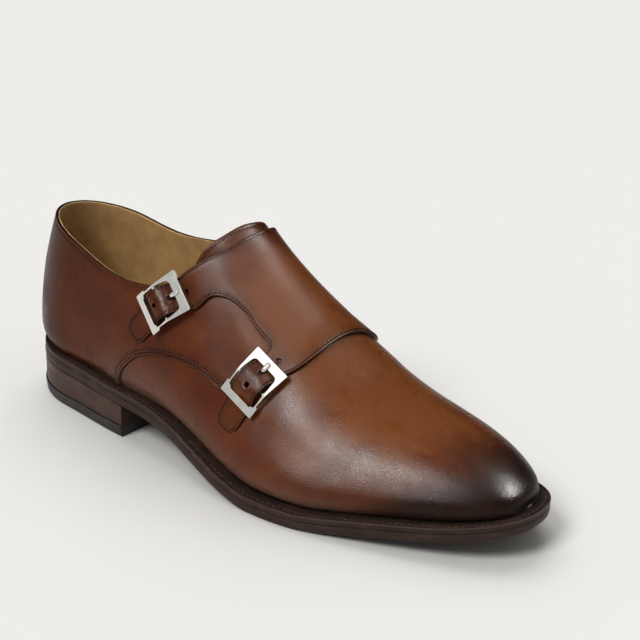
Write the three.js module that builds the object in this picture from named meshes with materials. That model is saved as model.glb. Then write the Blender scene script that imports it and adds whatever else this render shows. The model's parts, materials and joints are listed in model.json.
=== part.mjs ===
// Double monk strap shoe for the right foot, made to the shape of its last.
// Millimetres. +X runs to the toe, +Z up, -Y is the outer (buckle) side and +Y the inner side.
// The origin is under the middle of the shoe, on the floor.
import * as THREE from 'three';
import { mergeVertices } from 'three/addons/utils/BufferGeometryUtils.js';

// ---------------------------------------------------------------- driving dimensions
const length = 296;          // the last's widest outline, heel to toe
const ballWidth = 97;        // the last's width across the ball
const instepHeight = 88;     // top of the last above the sole at the instep
const heelHeight = 28;       // floor to the upper's lower edge at the heel

const wall = 2.2;            // vamp and quarters with their lining
const strapThickness = 1.6;
const tongueThickness = 1.9;
const weltThickness = 2.7;
const outsoleThickness = 4.7;
const insoleThickness = 5;
const topPieceThickness = 6;
const gap = 0.3;             // left between pieces that meet
const insoleGap = 0.35;
const tongueGap = 0.6;

const heelEnd = 84;          // heel breast, from the back
const heelTaper = 0.035;     // how much narrower the heel is at the floor
const heelPitch = 1.4;       // how far its back slopes in
const heelPitchEnd = 30;     // and how far forward that fades out
const heelCurveEnd = 110;    // where the heel's back curve has faded out
const tuck = 2.5;            // the upper turns in this much above the welt
const tuckHeight = 11;
const heelRound = 36;        // length of the rounded heel end
const toeRound = 0.59;       // where the outline starts to draw in, of the length
const toePower = 2.55;
const toeDropStart = 0.76;   // where the top starts to draw down, of the length
const toeDropPower = 1.95;
const soleAllowance = weltThickness + gap + outsoleThickness;

// One row for each section, at = its place along the length.
// outer, inner = half widths and ridge = sideways place of the top, of the ball width;
// top = height of the closed top above the sole, of the instep height;
// sole = height of the upper's lower edge, of the heel height; welt = its reach, mm.
const sections = [
  { at: 0.000, outer: 0.303, inner: 0.313, ridge: 0.020, top: 1.355, sole: 0.990, welt: -1.0 },
  { at: 0.085, outer: 0.325, inner: 0.326, ridge: 0.016, top: 1.348, sole: 0.957, welt: 0.7 },
  { at: 0.170, outer: 0.352, inner: 0.327, ridge: 0.015, top: 1.340, sole: 0.936, welt: 2.2 },
  { at: 0.270, outer: 0.392, inner: 0.309, ridge: 0.015, top: 1.310, sole: 0.904, welt: 3.4 },
  { at: 0.370, outer: 0.415, inner: 0.295, ridge: 0.012, top: 1.250, sole: 0.815, welt: 4.3 },
  { at: 0.475, outer: 0.475, inner: 0.313, ridge: 0.010, top: 1.035, sole: 0.564, welt: 6.2 },
  { at: 0.575, outer: 0.535, inner: 0.380, ridge: 0.026, top: 0.860, sole: 0.308, welt: 6.8 },
  { at: 0.675, outer: 0.541, inner: 0.456, ridge: 0.043, top: 0.667, sole: 0.256, welt: 6.6 },
  { at: 0.760, outer: 0.497, inner: 0.482, ridge: 0.037, top: 0.512, sole: 0.358, welt: 5.9 },
  { at: 0.845, outer: 0.452, inner: 0.474, ridge: 0.031, top: 0.443, sole: 0.479, welt: 5.2 },
  { at: 0.930, outer: 0.416, inner: 0.453, ridge: 0.035, top: 0.412, sole: 0.604, welt: 4.8 },
  { at: 1.000, outer: 0.389, inner: 0.434, ridge: 0.035, top: 0.372, sole: 0.754, welt: 4.5 },
];

// How far the back of the heel stands forward of its fullest point, by height above the sole.
const heelCurve = [
  { height: 0, forward: 0.6 }, { height: 12, forward: -0.7 }, { height: 24, forward: -1.0 },
  { height: 42, forward: -0.2 }, { height: 62, forward: 3.6 }, { height: 80, forward: 8.5 },
  { height: 110, forward: 19 },
];

// Where the upper ends at the collar and the throat: angles round the section in degrees,
// 0 at the outer lower edge, 90 on the ridge, 180 at the inner lower edge.
const openingEdges = [
  { at: 0.00, outer: 35.2, inner: 144.8 }, { at: 0.10, outer: 32.8, inner: 147.0 },
  { at: 0.20, outer: 29.0, inner: 148.6 }, { at: 0.30, outer: 29.8, inner: 145.3 },
  { at: 0.39, outer: 38.4, inner: 137.7 }, { at: 0.44, outer: 49.0, inner: 128.5 },
  { at: 0.51, outer: 62.0, inner: 118.0 }, { at: 0.60, outer: 67.0, inner: 113.0 },
  { at: 1.00, outer: 66.0, inner: 114.0 },
];
const throatEnd = 0.60;

// The tongue's front end under the vamp, its sides in degrees, and its top edge.
const tongueFront = 196;
const tongueSides = { from: 56, to: 124 };
const tongueTop = [
  { angle: 56, x: 120 }, { angle: 63, x: 123.4 }, { angle: 75, x: 127.3 }, { angle: 90, x: 130 },
  { angle: 105, x: 129 }, { angle: 117, x: 127 }, { angle: 124, x: 131 },
];
// It rises into the throat: margin and slope in degrees from the throat's sides, end and
// endSlope in mm from its front.
const tongueRise = { margin: 4.5, slope: 12, end: 6, endSlope: 14 };
const tongueFlapGap = 0.1;   // less rise, to stay clear of the flap
const tongueSteps = 14;

// The edges of the flap over the instep, from the inner side to the outer: x in mm, angle.
const flapTop = [
  { x: 112, angle: 139 }, { x: 122, angle: 126 }, { x: 131, angle: 110 },
  { x: 134.5, angle: 93 }, { x: 133.5, angle: 79 }, { x: 128.5, angle: 62 },
];
const flapFront = [
  { x: 160, angle: 168 }, { x: 170, angle: 156 }, { x: 181.5, angle: 138 },
  { x: 189.5, angle: 116 }, { x: 189, angle: 97 }, { x: 187, angle: 77 }, { x: 184.4, angle: 60 },
];
const flapArch = [
  { x: 129.7, angle: 42.6 }, { x: 135.6, angle: 47.6 }, { x: 143.4, angle: 51 },
  { x: 151.3, angle: 52.1 }, { x: 157.3, angle: 51.5 },
];

// The two buckles: place of the centre bar, the strap's heading in degrees back from down,
// and the height of the bar's underside over the quarter, which is rounder at the front one.
const buckles = [
  { name: 'rear', x: 106.5, angle: 29.8, heading: 46, crown: 5.0 },
  { name: 'front', x: 166.2, angle: 35.9, heading: 24, crown: 3.6 },
];
const strapHalf = 7.3;
const holeHalf = 1.6;
const rootReach = 17;        // the straps leave the flap this far before their centre bars
const rootSpread = 8.6;
// A strap weaves over the centre bar: share of the full rise along its length.
const strapRise = [
  { along: -17, share: 0 }, { along: -13.5, share: 0 }, { along: -9.8, share: 0.02 },
  { along: -7.6, share: 0.25 }, { along: -5.6, share: 0.62 }, { along: -2.6, share: 0.95 },
  { along: 0, share: 1 }, { along: 2.6, share: 0.95 }, { along: 5.2, share: 0.62 },
  { along: 7.4, share: 0.25 }, { along: 9.4, share: 0.02 }, { along: 12.5, share: 0 },
  { along: 17, share: 0 }, { along: 22, share: 0 }, { along: 25.5, share: 0 },
];
const holeRows = { from: -5.6, to: -2.6 };
const tipTaper = { from: 22, half: 4.2 };

const frameHalfWidth = 10.75;
const frameThickness = 1.6;
const frameSlope = 0.19;     // the two halves fall away from the bar
const barClearance = 0.4;    // between the centre bar and the strap over it
// Cross bars and windows along the frame, and its side arms across it.
const frameRows = [-14, -10, -1, 1, 10.3, 12.8];
const frameColumns = [-frameHalfWidth, -8.3, 8.3, frameHalfWidth];
// Middle of the prong along the frame and over the centre bar's underside.
const prongPath = [
  { along: 2.15, over: 0.5 }, { along: 1.7, over: -0.8 }, { along: 0, over: -1.35 },
  { along: -2.1, over: -0.8 }, { along: -3.7, over: 0.8 }, { along: -4.4, over: 2.5 },
  { along: -6.2, over: 3.2 }, { along: -9.6, over: 1.8 }, { along: -13.2, over: 0.25 },
];
const prongRadius = 0.75;

const stations = 46;         // steps along the foot
const sideColumns = 8;       // steps up each side of the upper
const topColumns = 6;        // steps over its top

// ---------------------------------------------------------------- curves
// Natural cubic spline through ys at xs.
function spline(xs, ys) {
  const last = xs.length - 1;
  const diagonal = [1];
  const upper = [0];
  const right = [0];
  for (let i = 1; i < last; i++) {
    const before = xs[i] - xs[i - 1];
    const after = xs[i + 1] - xs[i];
    const bend = 6 * ((ys[i + 1] - ys[i]) / after - (ys[i] - ys[i - 1]) / before);
    const factor = before / diagonal[i - 1];
    diagonal[i] = 2 * (before + after) - factor * upper[i - 1];
    upper[i] = after;
    right[i] = bend - factor * right[i - 1];
  }
  const curve = new Array(last + 1).fill(0);
  for (let i = last - 1; i > 0; i--) {
    curve[i] = (right[i] - upper[i] * curve[i + 1]) / diagonal[i];
  }
  return (x) => {
    let i = 0;
    while (i < last - 1 && x > xs[i + 1]) i += 1;
    const step = xs[i + 1] - xs[i];
    const past = x - xs[i];
    const left = xs[i + 1] - x;
    return (curve[i] * left ** 3 + curve[i + 1] * past ** 3) / (6 * step)
      + (ys[i] / step - curve[i] * step / 6) * left
      + (ys[i + 1] / step - curve[i + 1] * step / 6) * past;
  };
}

function column(table, key, value, scale = 1, keyScale = 1) {
  return spline(table.map((row) => row[key] * keyScale), table.map((row) => row[value] * scale));
}

const outerHalf = column(sections, 'at', 'outer', ballWidth, length);
const innerHalf = column(sections, 'at', 'inner', ballWidth, length);
const ridgeShift = column(sections, 'at', 'ridge', ballWidth, length);
const topHeight = column(sections, 'at', 'top', instepHeight, length);
const soleLine = column(sections, 'at', 'sole', heelHeight, length);
const weltReach = column(sections, 'at', 'welt', 1, length);
const heelForward = column(heelCurve, 'height', 'forward');
const outerEdge = column(openingEdges, 'at', 'outer', Math.PI / 180, length);
const innerEdge = column(openingEdges, 'at', 'inner', Math.PI / 180, length);
const riseShare = column(strapRise, 'along', 'share');

// Height of the welt's top; it is level where the forefoot stands on the floor.
const featherHeight = (x) => Math.max(soleLine(x), soleAllowance);

// ---------------------------------------------------------------- the last
// The last is swept by a turn from 0 at the heel to pi at the toe, and an angle round it.
const along = (turn) => length * (1 - Math.cos(turn)) / 2;
const turnAt = (x) => Math.acos(1 - 2 * THREE.MathUtils.clamp(x / length, 0, 1));

function endRounding(x) {
  const heel = THREE.MathUtils.clamp(1 - x / heelRound, 0, 1);
  const toe = THREE.MathUtils.clamp((x / length - toeRound) / (1 - toeRound), 0, 1);
  return Math.sqrt(1 - heel * heel) * (1 - toe ** toePower) ** (1 / toePower);
}

function ridgeHeight(x) {
  const drop = THREE.MathUtils.clamp((x / length - toeDropStart) / (1 - toeDropStart), 0, 1);
  return topHeight(x) * (1 - drop ** toeDropPower) ** (1 / toeDropPower);
}

// The widest outline on one side (-1 outer, 1 inner), and the way out from it.
function outlineAt(turn, side) {
  const half = side < 0 ? outerHalf : innerHalf;
  const place = (t) => new THREE.Vector2(along(t), side * half(along(t)) * endRounding(along(t)));
  const step = 1e-3;
  const before = place(Math.max(turn - step, 0));
  const after = place(Math.min(turn + step, Math.PI));
  let out = new THREE.Vector2(side * (before.y - after.y), side * (after.x - before.x)).normalize();
  if (turn < step) out = new THREE.Vector2(-1, 0);
  if (turn > Math.PI - step) out = new THREE.Vector2(1, 0);
  return { point: place(turn), out };
}

function lastPoint(turn, angle) {
  const x = along(turn);
  const rounding = endRounding(x);
  const outer = outerHalf(x) * rounding;
  const inner = innerHalf(x) * rounding;
  const middle = (inner - outer) / 2;
  const high = Math.sin(angle);
  const rise = ridgeHeight(x) * high;
  const lean = (ridgeShift(x) * rounding - middle) * high * high;
  const y = middle + lean - Math.cos(angle) * (outer + inner) / 2;
  const set = x + heelForward(rise) * THREE.MathUtils.clamp(1 - x / heelCurveEnd, 0, 1) ** 2;
  const turnIn = tuck * THREE.MathUtils.clamp(1 - rise / tuckHeight, 0, 1) ** 2;
  const way = outlineAt(turn, -1).out.multiplyScalar((1 + Math.cos(angle)) / 2)
    .addScaledVector(outlineAt(turn, 1).out, (1 - Math.cos(angle)) / 2);
  return new THREE.Vector3(set - turnIn * way.x, y - turnIn * way.y,
    featherHeight(set) + gap + rise);
}

function lastNormal(turn, angle) {
  const step = 2e-3;
  if (turn > Math.PI - step) return new THREE.Vector3(1, 0, 0);
  const forward = lastPoint(turn + step, angle).sub(lastPoint(Math.max(turn - step, 0), angle));
  const round = lastPoint(turn, Math.min(angle + step, Math.PI))
    .sub(lastPoint(turn, Math.max(angle - step, 0)));
  if (turn < step) forward.set(0, Math.sign(angle - Math.PI / 2) || 1, 0);
  return round.cross(forward).negate().normalize();
}

// A point on the form that lies a given height outside the last.
function onForm(turn, angle, height) {
  return lastPoint(turn, angle).addScaledVector(lastNormal(turn, angle), height);
}

// ---------------------------------------------------------------- solids
// One closed solid between two grids of points; has(i, j) leaves cells out.
// A seam end is where the two sides of the grid meet, so it gets no edge face.
function solidBetween(outer, inner, { has = () => true, seamStart = false, seamEnd = false } = {}) {
  const rows = outer.length - 1;
  const columns = outer[0].length - 1;
  const positions = [];
  const filled = (i, j) => i >= 0 && i < rows && j >= 0 && j < columns && has(i, j);
  const triangle = (...corners) => {
    const [a, b, c] = corners;
    const area = b.clone().sub(a).cross(c.clone().sub(a)).length();
    if (area > 1e-5) corners.forEach((corner) => positions.push(corner.x, corner.y, corner.z));
  };
  const quad = (a, b, c, d) => {
    triangle(a, b, c);
    triangle(a, c, d);
  };
  for (let i = 0; i < rows; i++) {
    for (let j = 0; j < columns; j++) {
      if (!filled(i, j)) continue;
      const [a, b, c, d] = [outer[i][j], outer[i + 1][j], outer[i + 1][j + 1], outer[i][j + 1]];
      const [e, f, g, h] = [inner[i][j], inner[i + 1][j], inner[i + 1][j + 1], inner[i][j + 1]];
      quad(a, b, c, d);
      quad(e, h, g, f);
      if (!filled(i - 1, j) && !(seamStart && i === 0)) quad(a, d, h, e);
      if (!filled(i + 1, j) && !(seamEnd && i === rows - 1)) quad(c, b, f, g);
      if (!filled(i, j - 1)) quad(b, a, e, f);
      if (!filled(i, j + 1)) quad(d, c, g, h);
    }
  }
  const geometry = new THREE.BufferGeometry();
  geometry.setAttribute('position', new THREE.Float32BufferAttribute(positions, 3));
  const merged = mergeVertices(geometry, 1e-4);
  if (signedVolume(merged) < 0) flip(merged);
  return merged;
}

function signedVolume(geometry) {
  const position = geometry.getAttribute('position');
  const index = geometry.getIndex();
  const corner = (k) => new THREE.Vector3().fromBufferAttribute(position, index.getX(k));
  let volume = 0;
  for (let k = 0; k < index.count; k += 3) {
    volume += corner(k).dot(corner(k + 1).cross(corner(k + 2))) / 6;
  }
  return volume;
}

function flip(geometry) {
  const index = geometry.getIndex();
  for (let k = 0; k < index.count; k += 3) {
    const second = index.getX(k + 1);
    index.setX(k + 1, index.getX(k + 2));
    index.setX(k + 2, second);
  }
}

const grid = (rows, columns, place) => Array.from({ length: rows + 1 },
  (_, i) => Array.from({ length: columns + 1 }, (__, j) => place(i, j)));

const steps = (from, to, count) => Array.from({ length: count + 1 },
  (_, i) => from + (to - from) * i / count);

// A flat slab that follows the sole: its outline is the last's, reach outside it.
function soleSlab({ reach, top, bottom, from = 0, to = Math.PI, shape = (point) => point }) {
  const turns = steps(from, to, Math.round(stations * (to - from) / Math.PI));
  const across = 4;
  const layer = (height) => grid(turns.length - 1, across, (i, j) => {
    const edge = (side) => {
      const { point, out } = outlineAt(turns[i], side);
      return shape(point.addScaledVector(out, reach(along(turns[i]))), height);
    };
    const place = edge(-1).lerp(edge(1), j / across);
    return new THREE.Vector3(place.x, place.y, height(place.x));
  });
  return solidBetween(layer(top), layer(bottom), { seamStart: true, seamEnd: to === Math.PI });
}

// ---------------------------------------------------------------- sub-parts
function outsole() {
  return soleSlab({
    reach: weltReach,
    top: (x) => featherHeight(x) - weltThickness - gap,
    bottom: (x) => featherHeight(x) - soleAllowance,
  });
}

function insole() {
  return soleSlab({
    reach: () => -(tuck + wall + insoleGap),
    top: (x) => featherHeight(x) - weltThickness + insoleThickness,
    bottom: (x) => featherHeight(x) - weltThickness,
  });
}

// The welt is a ring: it carries the upper's edge and is open in the middle.
function welt() {
  const inset = -(tuck + wall);
  const layer = (drop) => grid(stations, 3, (i, j) => {
    const turn = Math.PI * i / stations;
    const { point, out } = outlineAt(turn, j < 2 ? -1 : 1);
    const reach = j === 0 || j === 3 ? weltReach(along(turn)) : inset;
    const place = point.addScaledVector(out, reach);
    return new THREE.Vector3(place.x, place.y, featherHeight(place.x) - drop);
  });
  return solidBetween(layer(0), layer(weltThickness),
    { has: (i, j) => j !== 1, seamStart: true, seamEnd: true });
}

// The heel's outline draws in towards the floor, and its breast is straight.
function heelBlock(bottom, top) {
  const full = featherHeight(heelEnd);
  const shape = (place, height) => {
    const low = 1 - THREE.MathUtils.clamp(height(place.x) / full, 0, 1);
    const back = THREE.MathUtils.clamp(1 - place.x / heelPitchEnd, 0, 1);
    return new THREE.Vector2(Math.min(place.x + heelPitch * low * back, heelEnd),
      place.y * (1 - heelTaper * low));
  };
  return soleSlab({ reach: weltReach, top, bottom, to: turnAt(heelEnd), shape });
}

function upper() {
  const columns = 2 * sideColumns + topColumns;
  const angleAt = (x, j) => {
    if (j <= sideColumns) return outerEdge(x) * j / sideColumns;
    const over = j - sideColumns;
    if (over < topColumns) {
      return THREE.MathUtils.lerp(outerEdge(x), innerEdge(x), over / topColumns);
    }
    return THREE.MathUtils.lerp(innerEdge(x), Math.PI, (over - topColumns) / sideColumns);
  };
  const skin = (height) => grid(stations, columns, (i, j) => {
    const turn = Math.PI * i / stations;
    return onForm(turn, angleAt(along(turn), j), height);
  });
  const overTop = (j) => j >= sideColumns && j < sideColumns + topColumns;
  const closed = (i) => along(Math.PI * i / stations) >= throatEnd * length;
  return solidBetween(skin(0), skin(-wall),
    { has: (i, j) => !overTop(j) || closed(i), seamStart: true, seamEnd: true });
}

// The tongue lies inside the vamp and quarters, and rises to the flap in the throat.
function tongue() {
  const topAt = column(tongueTop, 'angle', 'x');
  const { margin, slope, end, endSlope } = tongueRise;
  const rise = (x, degrees) => {
    const outer = degrees - THREE.MathUtils.radToDeg(outerEdge(x)) - margin;
    const inner = THREE.MathUtils.radToDeg(innerEdge(x)) - margin - degrees;
    return (wall + gap - tongueFlapGap) * THREE.MathUtils.smoothstep(outer, 0, slope)
      * THREE.MathUtils.smoothstep(inner, 0, slope)
      * THREE.MathUtils.smoothstep(throatEnd * length - end - x, 0, endSlope);
  };
  const skin = (depth) => grid(tongueSteps, tongueSteps, (i, j) => {
    const degrees = THREE.MathUtils.lerp(tongueSides.from, tongueSides.to, j / tongueSteps);
    const x = THREE.MathUtils.lerp(topAt(degrees), tongueFront, i / tongueSteps);
    return onForm(turnAt(x), THREE.MathUtils.degToRad(degrees),
      rise(x, degrees) - wall - tongueGap - depth);
  });
  return solidBetween(skin(0), skin(tongueThickness));
}

// ---------------------------------------------------------------- straps and buckles
// A flat frame on the last at a buckle: down the strap, across it and out of the leather.
function buckleFrame({ x, angle, heading, crown }) {
  const radians = THREE.MathUtils.degToRad(angle);
  const turn = turnAt(x);
  const origin = lastPoint(turn, radians);
  const normal = lastNormal(turn, radians);
  const step = 1e-3;
  const perX = lastPoint(turnAt(x + step), radians).sub(origin).divideScalar(step);
  const perAngle = lastPoint(turn, radians + step).sub(origin).divideScalar(step);
  const down = perAngle.clone().negate().normalize();
  const back = normal.clone().cross(down).normalize();
  if (back.x > 0) back.negate();
  const lean = THREE.MathUtils.degToRad(heading);
  const strapWay = down.multiplyScalar(Math.cos(lean)).addScaledVector(back, Math.sin(lean));
  const barWay = normal.clone().cross(strapWay);
  // The move in x and angle that makes a given move on the surface.
  const solve = (way) => {
    const xx = perX.dot(perX);
    const xa = perX.dot(perAngle);
    const aa = perAngle.dot(perAngle);
    const det = xx * aa - xa * xa;
    const wx = way.dot(perX);
    const wa = way.dot(perAngle);
    return { x: (wx * aa - wa * xa) / det, angle: (wa * xx - wx * xa) / det };
  };
  const alongMove = solve(strapWay);
  const acrossMove = solve(barWay);
  const spot = (u, v) => ({
    x: x + u * alongMove.x + v * acrossMove.x,
    angle: radians + u * alongMove.angle + v * acrossMove.angle,
  });
  const onLeather = (u, v, height) => {
    const place = spot(u, v);
    return onForm(turnAt(place.x), place.angle, height);
  };
  const inFrame = (u, v, height) => origin.clone().addScaledVector(strapWay, u)
    .addScaledVector(barWay, v).addScaledVector(normal, height);
  return { spot, onLeather, inFrame, crown };
}

const frames = Object.fromEntries(buckles.map((buckle) => [buckle.name, buckleFrame(buckle)]));

const strapColumns = [-1, -holeHalf / strapHalf, holeHalf / strapHalf, 1];
const rearColumns = strapColumns.length - 1;
const archColumns = 6;
const flapRows = 22;

// The flap's outer-side edge, column by column: rear strap, arch, front strap.
function flapRoots() {
  const degrees = (place) => ({ x: place.x, angle: THREE.MathUtils.radToDeg(place.angle) });
  const root = (name) => strapColumns.map(
    (share) => degrees(frames[name].spot(-rootReach, share * rootSpread)));
  const order = (list) => (list[0].x < list[rearColumns].x ? list : list.reverse());
  const rear = order(root('rear'));
  const front = order(root('front'));
  const arch = [rear[rearColumns], ...flapArch, front[0]];
  const share = arch.map((_, i) => i / (arch.length - 1));
  const archX = spline(share, arch.map((place) => place.x));
  const archAngle = spline(share, arch.map((place) => place.angle));
  const between = steps(0, 1, archColumns).slice(1, -1)
    .map((t) => ({ x: archX(t), angle: archAngle(t) }));
  return [...rear, ...between, ...front];
}

// Points of the flap between its four edges, as x and angle.
function flapSpots() {
  const roots = flapRoots();
  const last = roots.length - 1;
  const edge = (list, end) => {
    const all = [...list, end];
    const share = all.map((_, i) => i / (all.length - 1));
    const x = spline(share, all.map((place) => place.x));
    const angle = spline(share, all.map((place) => place.angle));
    return (t) => ({ x: x(t), angle: angle(t) });
  };
  const top = edge(flapTop, roots[0]);
  const front = edge(flapFront, roots[last]);
  const mix = (s, t, root, key) => {
    const inner = THREE.MathUtils.lerp(flapTop[0][key], flapFront[0][key], s);
    const corner = THREE.MathUtils.lerp(inner,
      THREE.MathUtils.lerp(roots[0][key], roots[last][key], s), t);
    return THREE.MathUtils.lerp(inner, root[key], t)
      + THREE.MathUtils.lerp(top(t)[key], front(t)[key], s) - corner;
  };
  return grid(flapRows, last, (i, j) => ({
    x: mix(j / last, i / flapRows, roots[j], 'x'),
    angle: mix(j / last, i / flapRows, roots[j], 'angle'),
  }));
}

// The flap over the instep and its two straps are one piece of leather.
function monkFlap() {
  const spots = flapSpots();
  const straps = strapRise.slice(1).map((row) => row.along);
  const frontStart = rearColumns + archColumns;
  const strapSpot = (name, j, reach, height) => {
    const narrow = THREE.MathUtils.clamp(
      (reach - tipTaper.from) / (strapRise.at(-1).along - tipTaper.from), 0, 1);
    const half = THREE.MathUtils.lerp(strapHalf, tipTaper.half, narrow);
    const side = name === 'rear' ? strapColumns[j] : strapColumns[j - frontStart];
    const rise = riseShare(reach) * (frames[name].crown + frameThickness + barClearance - gap);
    return frames[name].onLeather(reach, frontward(name) * side * half, gap + rise + height);
  };
  const skin = (height) => grid(flapRows + straps.length, spots[0].length - 1, (i, j) => {
    if (i <= flapRows) {
      const { x, angle } = spots[i][j];
      return onForm(turnAt(x), THREE.MathUtils.degToRad(angle), gap + height);
    }
    const reach = straps[i - flapRows - 1];
    if (j <= rearColumns) return strapSpot('rear', j, reach, height);
    if (j >= frontStart) return strapSpot('front', j, reach, height);
    return new THREE.Vector3();
  });
  const inStrap = (j) => j < rearColumns || j >= frontStart;
  const inHole = (i, j) => straps[i - flapRows - 1] >= holeRows.from
    && straps[i - flapRows] <= holeRows.to && (j === 1 || j === frontStart + 1);
  return solidBetween(skin(strapThickness), skin(0),
    { has: (i, j) => i < flapRows || (inStrap(j) && !inHole(i, j)) });
}

// 1 where a frame's across direction points to the toe, -1 where it points back.
function frontward(name) {
  return frames[name].spot(0, 1).x > frames[name].spot(0, -1).x ? 1 : -1;
}

function buckleFrameSolid({ inFrame, crown }) {
  const underside = (u) => crown - frameSlope * Math.abs(u);
  const skin = (height) => grid(frameRows.length - 1, 3,
    (i, j) => inFrame(frameRows[i], frameColumns[j], underside(frameRows[i]) + height));
  const window = (i, j) => j === 1 && (i === 1 || i === 3);
  return solidBetween(skin(frameThickness), skin(0), { has: (i, j) => !window(i, j) });
}

function prongSolid({ inFrame, crown }) {
  const path = new THREE.CatmullRomCurve3(
    prongPath.map((row) => inFrame(row.along, 0, crown + row.over)));
  const section = new THREE.Shape();
  section.absarc(0, 0, prongRadius, 0, 2 * Math.PI, false);
  const rod = new THREE.ExtrudeGeometry(section,
    { steps: 24, curveSegments: 4, bevelEnabled: false, extrudePath: path });
  rod.deleteAttribute('normal');
  rod.deleteAttribute('uv');
  return mergeVertices(rod, 1e-4);
}

// ---------------------------------------------------------------- assembly
const shoe = new THREE.Group();

function add(name, geometry, material) {
  const mesh = new THREE.Mesh(geometry, new THREE.MeshStandardMaterial(material));
  mesh.name = name;
  shoe.add(mesh);
}

const tan = { color: 0x7a3f1e, roughness: 0.4, metalness: 0 };
const darkTan = { color: 0x6b3418, roughness: 0.42, metalness: 0 };
const natural = { color: 0xc0a276, roughness: 0.75, metalness: 0 };
const soleEdge = { color: 0x3a2620, roughness: 0.5, metalness: 0 };
const rubber = { color: 0x2b2422, roughness: 0.7, metalness: 0 };
const steel = { color: 0xc9c7c2, roughness: 0.2, metalness: 1 };

add('outsole', outsole(), soleEdge);
add('welt', welt(), soleEdge);
add('heel_top_piece', heelBlock(() => 0, () => topPieceThickness), rubber);
add('heel_stack', heelBlock(() => topPieceThickness + gap,
  (x) => featherHeight(x) - soleAllowance - gap), soleEdge);
add('insole', insole(), natural);
add('upper', upper(), tan);
add('tongue', tongue(), darkTan);
add('monk_flap', monkFlap(), tan);
for (const { name } of buckles) {
  add(`buckle_frame_${name}`, buckleFrameSolid(frames[name]), steel);
  add(`buckle_prong_${name}`, prongSolid(frames[name]), steel);
}

// The shoe is moved so that the origin is under the middle of its box.
const box = new THREE.Box3().setFromObject(shoe);
const middle = box.getCenter(new THREE.Vector3());
shoe.position.set(-middle.x, -middle.y, -box.min.z);

export default shoe;
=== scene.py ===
import json
import math

import bmesh
import bpy
import numpy as np
from mathutils import Matrix, Vector
from mathutils.geometry import delaunay_2d_cdt
from mathutils.kdtree import KDTree

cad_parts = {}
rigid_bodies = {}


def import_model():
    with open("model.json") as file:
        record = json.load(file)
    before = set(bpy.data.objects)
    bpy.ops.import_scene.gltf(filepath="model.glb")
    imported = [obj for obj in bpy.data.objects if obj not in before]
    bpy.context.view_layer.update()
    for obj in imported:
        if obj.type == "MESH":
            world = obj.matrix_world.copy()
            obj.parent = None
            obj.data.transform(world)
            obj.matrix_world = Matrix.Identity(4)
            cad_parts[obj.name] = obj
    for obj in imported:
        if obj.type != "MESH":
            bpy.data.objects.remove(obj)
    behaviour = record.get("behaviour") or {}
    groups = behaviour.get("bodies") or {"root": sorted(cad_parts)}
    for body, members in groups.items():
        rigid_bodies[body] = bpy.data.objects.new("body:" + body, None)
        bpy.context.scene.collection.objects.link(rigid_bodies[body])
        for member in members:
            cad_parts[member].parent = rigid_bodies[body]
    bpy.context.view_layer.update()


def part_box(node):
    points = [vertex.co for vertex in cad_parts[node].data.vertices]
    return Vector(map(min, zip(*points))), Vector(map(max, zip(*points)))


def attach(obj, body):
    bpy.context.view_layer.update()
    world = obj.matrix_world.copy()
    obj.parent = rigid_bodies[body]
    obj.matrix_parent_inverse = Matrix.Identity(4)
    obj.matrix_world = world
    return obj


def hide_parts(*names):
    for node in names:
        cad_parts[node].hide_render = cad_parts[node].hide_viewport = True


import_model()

# Double monk strap shoe for the right foot. Lengths are millimetres, in the last's own frame:
# x from the heel to the toe, y to the inner side, z up from the floor. make_piece() turns them
# into metres in the row frame. A spot is a place on the last: a turn from 0 at the heel to pi
# at the toe, and an angle from 0 at the outer lower edge over the ridge to pi at the inner one.

# ---------------------------------------------------------------- driving dimensions
LENGTH = 296.0
BALL_WIDTH = 97.0
INSTEP_HEIGHT = 88.0
HEEL_HEIGHT = 28.0
WALL = 2.2
FLAP_THICKNESS = 1.85
QUARTER_THICKNESS = 1.1
LINING_THICKNESS = 0.95
TONGUE_THICKNESS = 1.9
WELT_THICKNESS = 2.7
OUTSOLE_THICKNESS = 4.7
INSOLE_THICKNESS = 5.0
TOP_PIECE_THICKNESS = 6.0
GAP = 0.3
HEEL_END = 84.0
HEEL_TAPER = 0.035
HEEL_PITCH = 1.4
HEEL_PITCH_END = 30.0
HEEL_CURVE_END = 110.0
TUCK = 2.5
TUCK_HEIGHT = 11.0
HEEL_ROUND = 36.0
TOE_ROUND = 0.59
TOE_POWER = 2.55
TOE_DROP_START = 0.76
TOE_DROP_POWER = 1.95
SOLE_ALLOWANCE = WELT_THICKNESS + GAP + OUTSOLE_THICKNESS
THROAT_END = 0.60 * LENGTH

# at = place along the length; outer, inner = half widths and ridge = sideways place of the top,
# of the ball width; top = height of the closed top over the sole, of the instep height;
# sole = height of the upper's lower edge, of the heel height; welt = its reach, mm.
SECTIONS = np.array([
    # at, outer, inner, ridge, top, sole, welt
    (0.000, 0.303, 0.313, 0.020, 1.355, 0.990, -1.0),
    (0.085, 0.325, 0.326, 0.016, 1.348, 0.957, 0.7),
    (0.170, 0.352, 0.327, 0.015, 1.340, 0.936, 2.2),
    (0.270, 0.392, 0.309, 0.015, 1.310, 0.904, 3.4),
    (0.370, 0.415, 0.295, 0.012, 1.250, 0.815, 4.3),
    (0.475, 0.475, 0.313, 0.010, 1.035, 0.564, 6.2),
    (0.575, 0.535, 0.380, 0.026, 0.860, 0.308, 6.8),
    (0.675, 0.541, 0.456, 0.043, 0.667, 0.256, 6.6),
    (0.760, 0.497, 0.482, 0.037, 0.512, 0.358, 5.9),
    (0.845, 0.452, 0.474, 0.031, 0.443, 0.479, 5.2),
    (0.930, 0.416, 0.453, 0.035, 0.412, 0.604, 4.8),
    (1.000, 0.389, 0.434, 0.035, 0.372, 0.754, 4.5),
])
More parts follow.
